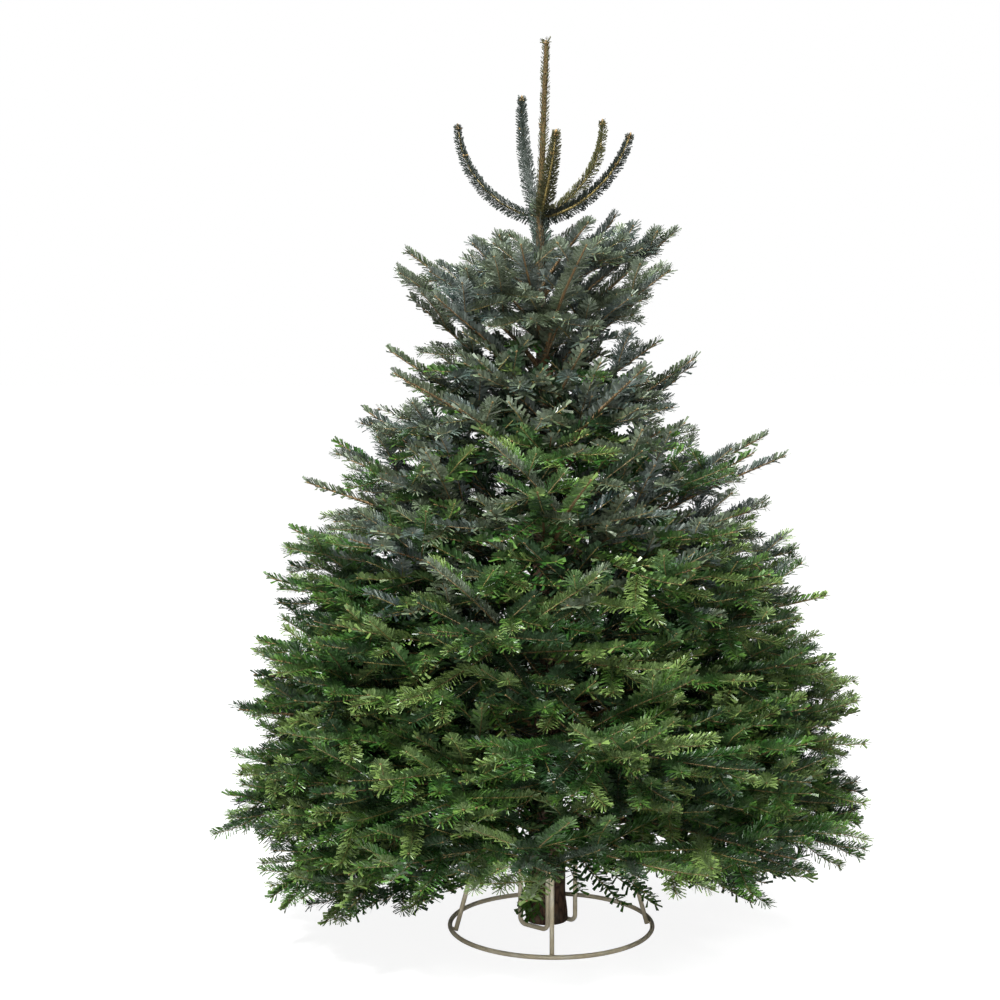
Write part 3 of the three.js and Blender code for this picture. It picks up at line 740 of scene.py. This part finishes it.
def grow_fill():
    for number in range(FILL_BOUGHS):
        seed = FILL_SEED + BOUGH_SEED * number
        place = ((number + 0.5) / FILL_BOUGHS) ** FILL_CROWDS
        height = FILL_FROM + (FILL_TO - FILL_FROM) * place
        azimuth = FILL_FIRST + number * GOLDEN_ANGLE
        rise, fall = slope_at(height, seed)
        turn = spread(seed + 2, FILL_TURN)
        margin = FILL_MARGIN[0] + FILL_MARGIN[1] * chance(seed + 3)
        length = FILL_LENGTH
        while True:
            line = grow_line(trunk_at(height)[0], length, azimuth, rise, turn, fall)
            if is_inside(line, margin) or length < FILL_SHORTEST:
                break
            length *= CUT_BACK
        add_bough(line, seed, HIGH_BARE if height > FILL_HIGH else LOW_BARE, FILL_SPACING)


def grow_long():
    for number, (azimuth, tip_height, reach) in enumerate(LONG_TIPS):
        seed = LONG_SEED + BOUGH_SEED * number
        rise, fall = slope_at(tip_height - LONG_DROP * reach, seed)
        way = grow_line(np.zeros(3), 1.0, azimuth, rise, 0.0, fall)["points"][-1]
        length = (reach - END_REACH * NEEDLE_LENGTH) / math.hypot(way[0], way[1])
        start = trunk_at(tip_height - length * way[2])[0]
        line = grow_line(start, length, azimuth, rise, 0.0, fall)
        bare = HIGH_BARE if tip_height > LONG_HIGH else LOW_BARE
        add_bough(line, seed, bare, LONG_SPACING, ease=LONG_EASE)


def grow_inner():
    low, high, count, first, longest = INNER_BOUGHS
    for number in range(count):
        seed = INNER_SEED + BOUGH_SEED * number
        height = low + (high - low) * (number + 0.5) / count
        rise, fall = slope_at(height, seed)
        length = min(longest, INNER_REACH * outline_radius((0.0, 0.0, height + INNER_LIFT)))
        line = grow_line(trunk_at(height)[0], length, first + number * GOLDEN_ANGLE, rise, 0.0, fall)
        add_bough(line, seed, HIGH_BARE, INNER_SPACING)


def grow_lone():
    for number, lone in enumerate(LONE_BOUGHS):
        start = trunk_at(lone["height"])[0]
        length = lone["length"] - END_REACH * lone["coat"]
        line = grow_line(start, length, lone["azimuth"], lone["rise"], 0.0, lone["fall"])
        add_bough(line, LONE_SEED + number, lone["bare"], lone["spacing"], lone["years"])


def stem_line(low, high, length, rise):
    """A stretch of the trunk as a line that needles stand on."""
    line = grow_line(trunk_at(low)[0], length, STEM_AZIMUTH, rise, 0.0, 0.0)
    line["points"] = np.array([trunk_at(height)[0] for height in np.linspace(low, high, LINE_STEPS + 1)])
    return line


def grow_shoots():
    """Every shoot of the crown: on the boughs, round the leader, on the stem and on the trunk's foot."""
    for bough in BOUGHS:
        line, seed, bare = bough["line"], bough["seed"], bough["bare"]
        add_shoot(line, 0, seed, None, 1.2, 0.8 * bare)
        grow_sides(line, seed, 0.6 * bare, 0, bough["spacing"], bough["ease"])
    for number, (azimuth, rise, length, steepen) in enumerate(TOP_SHOOTS):
        start = trunk_at(TOP_HEIGHT)[0]
        line = grow_line(start, length - TOP_SHORTER, azimuth, rise, 0.0, TIP_LIFT - steepen)
        add_shoot(line, TOP, TOP_SEED + number, 4.0, 2.0, 0.03)
    add_shoot(stem_line(*LEADER_COAT), LEADER, LEADER_SEED, 7.0, 5.0)
    add_shoot(stem_line(*STEM_COAT), STEM, STEM_SEED, 10.0, 8.0)
    for number, (height, azimuth, rise, length, fall) in enumerate(FOOT_SPRIGS):
        line = grow_line(trunk_at(height)[0], length, azimuth, rise, 0.0, fall)
        add_shoot(line, FOOT, FOOT_SEED + number, 1.8, 0.9, 0.35)


grow_tiers()
grow_fill()
grow_long()
grow_inner()
grow_lone()
grow_shoots()


# ---- needles ----
DENSITY = {TOP: 2.8, LEADER: 1.6, STEM: 3.0}
CLOSER = {TOP: 0.85, LEADER: 0.65, STEM: 0.8}


def slants_of(roll, shares, count, length, order):
    """Each needle's angle to its shoot: closer near the tip, and spread wide in the end tuft."""
    slant = np.radians(SLANT - SLANT_ABOVE * np.cos(roll) + rng.normal(0.0, 4.5, len(roll)))
    stretch = TIP_NARROWS / length
    near_tip = np.clip((shares - 1.0 + stretch) / stretch, 0.0, 1.0)
    slant = slant * (1.0 - 0.3 * near_tip) * CLOSER.get(order, 1.0)
    widest = 72.0 if order < 0 else 55.0
    slant[count:] = np.radians(TUFT_SLANT + widest * rng.random(len(roll) - count))
    return slant


def sizes_of(roll, shares, count, order):
    """Each needle's length: shorter on top of the shoot and at its ends."""
    grow = np.clip(0.75 + 0.25 * np.sin(np.pi * np.clip(shares * 0.9 + 0.1, 0, 1)) ** 0.6, 0.7, 1.0)
    size = NEEDLE_LENGTH * (0.82 + 0.2 * rng.random(len(roll))) * grow
    size = size * (1.0 - 0.2 * (np.abs(np.cos(roll)) > 0.7))
    size[count:] = size[count:] * (1.5 if order == LEADER else 0.85)
    if order == TOP:
        size = size * (0.92 - 0.38 * shares)
    if order == LEADER:
        size = size * 0.4
    return size


def count_of(shoot, middle, inner):
    """How many needles stand along a shoot, and how many more round its end."""
    order = shoot["order"]
    density = NEEDLES_PER_MM * (INNER_SHARE if inner else 1.0)
    if middle[2] > UPPER_FROM:
        density *= UPPER_DENSER
    if order == 0:
        density *= LIMB_DENSER
    density = DENSITY.get(order, density)
    tuft = 0 if inner or order == STEM else TUFT
    if order in (TOP, LEADER):
        tuft = 2 * TUFT
    return int(shoot["line"]["length"] * (1.0 - shoot["start"]) * density), tuft


def needles_of(shoot):
    """Foot, heading, upper face, length and width of each needle on a shoot, and which stand at its end,
    where a lighter green is partly a painted highlight.
    """
    line = shoot["line"]
    order = shoot["order"]
    length = line["length"]
    middle = points_at(line, np.array(0.5))
    inner = depth_of(middle) < INNER_DEPTH and middle[2] < INNER_TOP
    count, tuft = count_of(shoot, middle, inner)
    index = np.arange(count + tuft)
    shares = shoot["start"] + (1.0 - shoot["start"]) * (index + 0.5) / max(count, 1)
    shares[count:] = 1.0 - TUFT_REACH / length * (index[count:] - count) / max(tuft, 1)
    # Needles stand by turns round the shoot, but most of them are combed to its sides and top.
    turned = (index * GOLDEN_ANGLE + shoot["seed"] * 31.0) % 360.0 - 180.0
    combed = np.sign(turned) * (np.abs(turned) / 180.0) ** COMB_POWER * COMB_REACH
    combed = combed + rng.normal(0.0, 6.0, count + tuft)
    if order < 0:
        combed = turned
    combed[count:] = turned[count:]
    roll = np.radians(combed)
    ahead, side, above = axes_at(line, shares)
    slant = slants_of(roll, shares, count, length, order)
    out = np.cos(roll)[:, None] * above + np.sin(roll)[:, None] * side
    heading = np.cos(slant)[:, None] * ahead + np.sin(slant)[:, None] * out
    face = above + 0.35 * ahead + 0.3 * out + rng.normal(0.0, 0.45, (count + tuft, 3))
    face = face - (face * heading).sum(axis=1, keepdims=True) * heading
    face = face / np.linalg.norm(face, axis=1, keepdims=True)
    size = sizes_of(roll, shares, count, order)
    stem = shoot["root"] or BOUGH_ROOT_RADIUS
    foot = points_at(line, shares) + out * (stem + (shoot["tip"] - stem) * shares)[:, None]
    width = NEEDLE_WIDTH * (0.85 + 0.3 * rng.random(count + tuft))
    width[count:] = width[count:] * 0.85
    if order < 0:
        width = width * 1.15
    if inner:
        width = width * INNER_BROADER
    return (foot, heading, face, size, width), shares > 1.0 - TIP_HIGHLIGHT_STRETCH / length


def needle_mesh(foot, heading, face, size, width):
    """Corners and quads of many needles: flat blades, narrow at the foot and blunt at the tip."""
    across = np.cross(face, heading)
    count = len(foot)
    reach = size[:, None]
    half = width[:, None] * 0.5
    tip = foot + heading * reach
    twist = face * rng.normal(0.0, 0.35, (count, 1))
    low = across * half * 0.55
    high = (across + twist) * half * 0.85
    corners = np.stack([foot + low, foot - low, tip - high, tip + high], axis=1).reshape(-1, 3)
    base = np.arange(count)[:, None] * 4
    return corners, np.zeros((0, 3), int), base + np.array([[0, 1, 2, 3]])


HIGH_COLOURS = 1230.0  # above this height needles are frosted, and above the next one half of them are
MIDDLE_COLOURS = 850.0
OLIVE_SEEDS = (TOP_SEED + 2, TOP_SEED + 3)
# The lighter green of each shoot's end stretch: partly young growth, partly a painted highlight.
TIP_HIGHLIGHT = {"green": "moss", "moss": "fresh", "blue": "slate", "slate": "sage", "dull": "sage"}


def colour_of(shoot):
    """The needle colour of a shoot, by its height, its depth in the crown and chance; shoots far inside the
    crown take the darkest green as painted shade.
    """
    tip = shoot["line"]["points"][-1]
    order = shoot["order"]
    seed = shoot["seed"]
    if order in (FOOT, STEM):
        return "green" if order == FOOT else "slate"
    if order < 0:
        return "olive" if order == LEADER or seed in OLIVE_SEEDS else "dusk"
    height = tip[2] + 240.0 * (chance(seed + 23) - 0.5)
    beside = abs(tip[0]) > 0.6 * math.hypot(tip[0], tip[1])
    if height > HIGH_COLOURS:
        choice = ("blue", "slate", "slate" if beside else "dull", "dull", "dull")
    # Shoots far inside the crown get the darkest green, as painted shade.
    elif depth_of(tip) < 0.5:
        return "deep"
    elif height > MIDDLE_COLOURS and beside:
        choice = ("slate", "slate", "green", "dull", "blue")
    # Some shoots also get the darkest green by chance, as painted shade between the sprays.
    elif height > MIDDLE_COLOURS:
        choice = ("green", "dull", "moss", "deep", "sage")
    else:
        choice = ("deep", "green", "green", "moss", "fresh")
    return choice[int(chance(seed * 3 + 11) * 4.99)]


def make_needles():
    kinds = {}
    for shoot in SHOOTS:
        parts, last = needles_of(shoot)
        kind = colour_of(shoot)
        kinds.setdefault(kind, []).append([part[~last] for part in parts])
        # The end stretch of each shoot takes a lighter green, partly as a painted highlight.
        kinds.setdefault(TIP_HIGHLIGHT.get(kind, kind), []).append([part[last] for part in parts])
    foliage = [name for name in NODES if name.startswith("foliage")]
    for kind in sorted(kinds):
        parts = [np.concatenate(column) for column in zip(*kinds[kind])]
        count = len(parts[0])
        pieces = math.ceil(count * NEEDLE_TRIANGLES / PIECE_TRIANGLES)
        for number in range(pieces):
            low, high = count * number // pieces, count * (number + 1) // pieces
            corners, triangles, quads = needle_mesh(*[part[low:high] for part in parts])
            name = f"needles_{kind}_{number + 1}"
            material = MATERIALS["needles_" + kind]
            piece_from_arrays(name, corners, triangles, quads, material, "needles", foliage)
            foliage = []


make_needles()


# ---- twigs and buds ----
TWIG_SIDES = 3
OLD_PITCH = 30.0
YOUNG_PITCH = 44.0


def twig_mesh(shoots, pitch):
    """Three-sided tapered tubes along the shoots, pointed at the tip."""
    corners = []
    triangles = []
    quads = []
    base = 0
    for shoot in shoots:
        line = shoot["line"]
        steps = max(2, int(line["length"] / pitch))
        shares = np.linspace(0.0, 1.0, steps + 1)
        ahead, side, above = axes_at(line, shares)
        points = points_at(line, shares)
        radii = shoot["root"] + (shoot["tip"] - shoot["root"]) * shares
        rings = []
        for k in range(TWIG_SIDES):
            angle = 2.0 * math.pi * (k + 0.5) / TWIG_SIDES
            rings.append(points + (math.cos(angle) * above + math.sin(angle) * side) * radii[:, None])
        corners.append(np.stack(rings, axis=1).reshape(-1, 3))
        corners.append(points[-1:] + ahead[-1:] * 2.0)
        last = base + steps * TWIG_SIDES
        end = last + TWIG_SIDES
        feet = np.arange(base, last, TWIG_SIDES)
        for k in range(TWIG_SIDES):
            n = (k + 1) % TWIG_SIDES
            quads.append(np.stack([feet + k, feet + k + TWIG_SIDES, feet + n + TWIG_SIDES, feet + n], axis=1))
            triangles.append((last + k, end, last + n))
        triangles.append((base, base + 1, base + 2))
        base = end + 1
    return np.concatenate(corners), np.array(triangles), np.concatenate(quads)


def make_twigs():
    old = [shoot for shoot in SHOOTS if shoot["order"] == 1]
    young = [shoot for shoot in SHOOTS if shoot["order"] not in (0, 1, LEADER, STEM)]
    for name, shoots, pitch in (("twig_old", old, OLD_PITCH), ("twig_young", young, YOUNG_PITCH)):
        piece_from_arrays(name + "s", *twig_mesh(shoots, pitch), MATERIALS[name], "bough_bark")


BUD_SIDES = 3
BUD_RINGS = ((0.28, 1.0), (0.68, 0.78))  # share of the length, share of the radius


def bud_mesh(buds):
    """Plump pointed buds: a foot, two rings and a tip. Each bud is (foot, heading, length, radius)."""
    corners = []
    triangles = []
    quads = []
    for number, (foot, heading, length, radius) in enumerate(buds):
        heading = heading / np.linalg.norm(heading)
        help_axis = np.array((0.0, 0.0, 1.0)) if abs(heading[2]) < 0.9 else np.array((1.0, 0.0, 0.0))
        side = np.cross(help_axis, heading)
        side = side / np.linalg.norm(side)
        above = np.cross(heading, side)
        base = number * (2 * BUD_SIDES + 2)
        corners.append(foot)
        for share, swell in BUD_RINGS:
            for k in range(BUD_SIDES):
                angle = 2.0 * math.pi * k / BUD_SIDES
                out = math.cos(angle) * side + math.sin(angle) * above
                corners.append(foot + heading * length * share + out * radius * swell)
        corners.append(foot + heading * length)
        tip = base + 2 * BUD_SIDES + 1
        for k in range(BUD_SIDES):
            low, high = base + 1 + k, base + 1 + (k + 1) % BUD_SIDES
            triangles.append((base, high, low))
            quads.append((low, high, high + BUD_SIDES, low + BUD_SIDES))
            triangles.append((low + BUD_SIDES, high + BUD_SIDES, tip))
    return np.array(corners), np.array(triangles), np.array(quads)


def bud_ring(spot, axes, turns, lean, length, radius):
    """Buds that stand round a spot on a shoot, and lean towards its tip."""
    ahead, side, above = axes
    found = []
    for turn in turns:
        heading = lean * ahead + math.cos(turn) * side + math.sin(turn) * above
        found.append((spot, heading, length, radius))
    return found


def buds_of(shoot):
    """The end bud of a shoot, and on the stronger ones the side buds round it."""
    line = shoot["line"]
    order = shoot["order"]
    axes = axes_at(line, np.array(1.0))
    ahead, side, above = axes
    tip = line["points"][-1]
    if order in (FOOT, LEADER, STEM) or (order >= 0 and depth_of(tip) < INNER_DEPTH):
        return []
    big = 2.0 if order == TOP else 1.0
    found = [(tip, ahead, 5.2 * big, 1.9 * big)]
    if order > 1:
        return found
    for hand in (-1, 1):
        heading = ahead + hand * 0.9 * side + 0.15 * above
        found.append((tip - ahead * 2.0, heading, 4.4 * big, 1.6 * big))
    if order == TOP:
        found += bud_ring(tip - ahead * 4.0, axes, (0.6, 2.2, 3.8, 5.2), 0.5, 9.0, 3.4)
        found += bud_ring(points_at(line, np.array(0.78)), axes, (0.2, 1.7, 3.3), 0.8, 12.0, 3.6)
    return found


def leader_buds():
    """The cluster of buds at the very top, and pairs of buds down the leader."""
    upright = np.eye(3)[[2, 0, 1]]
    top = trunk_at(1930.0)[0]
    found = [(top, upright[0], 10.0, 4.0)]
    found += bud_ring(top, upright, [2.0 * math.pi * k / 6 for k in range(6)], 0.6, 8.5, 3.4)
    for height in (1752.0, 1758.0, 1866.0):
        for k in range(2):
            angle = 2.1 + 2.6 * k + height
            heading = np.array((math.cos(angle), math.sin(angle), 0.5))
            found.append((trunk_at(height)[0] + heading * 4.0, heading, 7.0, 2.4))
    return found


def make_buds():
    buds = [bud for shoot in SHOOTS for bud in buds_of(shoot)] + leader_buds()
    piece_from_arrays("buds", *bud_mesh(buds), MATERIALS["bud"], "bough_bark")


make_twigs()
make_buds()


# ---- trunk and boughs ----
BARK_DEPTH = 2.4
BARK_FINENESS = 0.06
BARK_FROM = 17.5  # the flat cut below stays smooth
COLLAR = (26.0, 0.05)  # half height and swell of the collar under each tier
FLARE = (34.0, 0.5)  # length and swell of a bough where it leaves the trunk
KNOTS = (0.05, 0.12)
BOUGH_STEP = 14.0
BOUGH_SIDES = 8


def relief_at(point, depth):
    """How far bark stands out at a point, in millimetres: long ridges and small knobs."""
    stretched = Vector((point.x, point.y, point.z * 0.3)) * BARK_FINENESS
    ridges = noise.fractal(stretched, 1.0, 2.0, 4)
    knobs = noise.noise(point * BARK_FINENESS * 2.6)
    return depth * (0.75 * ridges + 0.3 * knobs)


def roughen_trunk(bm):
    for vert in bm.verts:
        centre, radius = trunk_at(vert.co.z)
        away = vert.co - Vector(centre)
        if away.length > 1e-6 and vert.co.z > BARK_FROM:
            vert.co += away.normalized() * relief_at(vert.co, BARK_DEPTH * min(1.0, radius / 40.0))


def make_trunk():
    bm = bmesh.new()
    collars = [tier["height"] for tier in TIERS] + [TOP_HEIGHT]
    stations = []
    for height in [*np.arange(TRUNK[0][0], TRUNK[-1][0], TRUNK_STEP), TRUNK[-1][0]]:
        point, radius = trunk_at(height)
        swell = sum(math.exp(-(((height - collar) / COLLAR[0]) ** 2)) for collar in collars)
        stations.append((Vector(point), radius * (1.0 + COLLAR[1] * swell)))
    sweep(bm, stations, TRUNK_SIDES)
    roughen_trunk(bm)
    piece_from_bmesh("trunk_bark", bm, MATERIALS["trunk"], ["trunk"])


def make_boughs():
    bm = bmesh.new()
    for bough in BOUGHS:
        line = bough["line"]
        root = BOUGH_ROOT_RADIUS + YEAR_RADIUS * bough["years"]
        shares = np.linspace(0.0, 1.0, max(8, int(line["length"] / BOUGH_STEP)) + 1)
        stations = []
        for share, point in zip(shares, points_at(line, shares)):
            flare = 1.0 + FLARE[1] * math.exp(-((share * line["length"]) / FLARE[0]) ** 2)
            radius = (TIP_RADIUS + (root - TIP_RADIUS) * (1.0 - share)) * flare
            knot = KNOTS[1] * noise.noise(Vector(point) * KNOTS[0])
            stations.append((Vector(point), radius * (1.0 + knot)))
        sweep(bm, stations, BOUGH_SIDES)
    nodes = [name for name in NODES if name.startswith("bough")]
    piece_from_bmesh("bough_limbs", bm, MATERIALS["bough"], nodes)


make_trunk()
make_boughs()


# ---- stand ----
def make_ring():
    bm = bmesh.new()
    circle = bmesh.ops.create_circle(bm, cap_ends=False, segments=ROD_SIDES, radius=ROD_RADIUS)
    upright = Matrix.Rotation(math.radians(90.0), 4, "X")
    place = Matrix.Translation((RING_RADIUS, 0.0, RING_HEIGHT)) @ upright
    bmesh.ops.transform(bm, matrix=place, verts=circle["verts"])
    bmesh.ops.spin(
        bm,
        geom=list(bm.verts) + list(bm.edges),
        cent=(0.0, 0.0, 0.0),
        axis=(0.0, 0.0, 1.0),
        dvec=(0.0, 0.0, 0.0),
        angle=2.0 * math.pi,
        steps=RING_STEPS,
        use_merge=True,
        use_duplicate=False,
    )
    piece_from_bmesh("ring", bm, MATERIALS["stand"], ["stand_ring"])


def bent_path(corners):
    """A path through the corners, with each of them rounded to an arc."""
    path = [corners[0]]
    for before, corner, after in zip(corners, corners[1:], corners[2:]):
        into = (corner - before).normalized()
        out = (after - corner).normalized()
        angle = into.angle(out)
        cut = BEND_RADIUS * math.tan(angle / 2.0)
        start = corner - into * cut
        centre = corner + (out - into).normalized() * (BEND_RADIUS / math.cos(angle / 2.0))
        axis = into.cross(out).normalized()
        for k in range(BEND_STEPS + 1):
            turn = Matrix.Rotation(angle * k / BEND_STEPS, 3, axis)
            path.append(centre + turn @ (start - centre))
    path.append(corners[-1])
    return path


def direction(turn):
    angle = math.radians(turn)
    return Vector((math.cos(angle), math.sin(angle), 0.0))


def leg_corners(turn):
    """The corners of one leg, from its foot on the ring to the bar under the trunk."""
    ahead = direction(turn)
    cage = ahead * CAGE_RADIUS + CAGE_SHIFT
    return [
        ahead * FOOT_RADIUS + UP * FOOT_HEIGHT,
        ahead * SHOULDER_RADIUS + UP * SHOULDER_HEIGHT,
        cage + UP * (SHOULDER_HEIGHT - SHOULDER_DROP),
        cage + UP * CAGE_FLOOR,
    ]


def make_rod(name, turns):
    """Two legs and the bar between them, bent from one rod."""
    bm = bmesh.new()
    path = bent_path(leg_corners(turns[0]) + leg_corners(turns[1])[::-1])
    sweep(bm, [(point, ROD_RADIUS) for point in path], ROD_SIDES)
    piece_from_bmesh(name + "_smooth", bm, MATERIALS["stand"], [name])


def make_welds():
    """A small weld bead on both sides of each leg's foot, where it meets the ring."""
    bm = bmesh.new()
    for turn in [turn for turns in LEG_PAIRS.values() for turn in turns]:
        upright = Matrix.Rotation(math.radians(turn), 3, "Z")
        for hand in (-1, 1):
            along = Vector((-direction(turn).y, direction(turn).x, 0.0)) * hand
            place = direction(turn) * (RING_RADIUS - WELD_IN) + along * WELD_APART + UP * WELD_HEIGHT
            bead = bmesh.ops.create_icosphere(bm, subdivisions=2, radius=WELD_RADIUS)["verts"]
            bmesh.ops.scale(bm, vec=(1.0, 1.35, 0.8), verts=bead)
            bmesh.ops.rotate(bm, cent=(0, 0, 0), matrix=upright, verts=bead)
            bmesh.ops.translate(bm, vec=place, verts=bead)
    for vert in bm.verts:
        vert.co += vert.normal * 0.5 * noise.noise(vert.co * 0.5)
    piece_from_bmesh("weld_beads", bm, MATERIALS["stand"])


make_ring()
for rod_name, rod_turns in LEG_PAIRS.items():
    make_rod(rod_name, rod_turns)
make_welds()


# ---- floor and light ----
ROOM_LIGHT = 0.125
LAMPS = {  # place, target, size, power
    "key": ((-1.4, -2.6, 4.1), (0.0, 0.0, 0.8), 0.9, 495.0),
    "side": ((2.4, -2.6, 3.0), (0.0, 0.0, 0.8), 1.0, 110.0),
    "front": ((-0.5, -4.6, 0.9), (0.0, 0.0, 0.4), 1.2, 55.0),
    "back": ((0.4, 3.4, 3.8), (0.0, 0.0, 0.9), 1.8, 150.0),
}


def make_floor():
    """A pale floor. It shows nearly white, and sends little light back up into the crown."""
    bm = bmesh.new()
    bmesh.ops.create_grid(bm, x_segments=1, y_segments=1, size=30.0)
    mesh = bpy.data.meshes.new("floor")
    bm.to_mesh(mesh)
    bm.free()
    material, tree, shader = material_of("floor_white")
    seen = tree.nodes.new("ShaderNodeLightPath").outputs["Is Camera Ray"]
    away = node_of(tree, "VectorMath", {0: object_position(tree)}, operation="LENGTH").outputs["Value"]
    looks = {
        "Base Color": mix_colour(tree, seen, (0.4, 0.4, 0.4), (0.22, 0.22, 0.22)),
        "Emission Strength": math_of(tree, "MULTIPLY", seen, ranged(tree, away, 0.5, 2.5, 0.9, 1.0)),
        "Emission Color": (1.0, 1.0, 1.0),
        "Roughness": 0.9,
        "Specular IOR Level": 0.0,
    }
    feed(tree, shader, looks)
    mesh.materials.append(material)
    floor = bpy.data.objects.new("floor", mesh)
    floor.location = (0.0, 0.0, -0.0006)
    bpy.context.scene.collection.objects.link(floor)


def make_lamps():
    for name, (place, target, size, power) in LAMPS.items():
        data = bpy.data.lights.new(name, "AREA")
        data.shape = "DISK"
        data.size = size
        data.energy = power
        lamp = bpy.data.objects.new(name, data)
        lamp.location = place
        lamp.rotation_euler = (Vector(target) - Vector(place)).to_track_quat("-Z", "Y").to_euler()
        bpy.context.scene.collection.objects.link(lamp)


def make_room():
    """A room that shows white, and lights the tree only softly."""
    world = bpy.data.worlds.new("studio")
    world.use_nodes = True
    tree = world.node_tree
    seen = tree.nodes.new("ShaderNodeLightPath").outputs["Is Camera Ray"]
    strength = math_of(tree, "ADD", math_of(tree, "MULTIPLY", seen, 1.0 - ROOM_LIGHT), ROOM_LIGHT)
    feed(tree, tree.nodes["Background"], {"Color": (1.0, 1.0, 1.0), "Strength": strength})
    bpy.context.scene.world = world
    bpy.context.scene.view_settings.view_transform = "Standard"


make_floor()
make_lamps()
make_room()
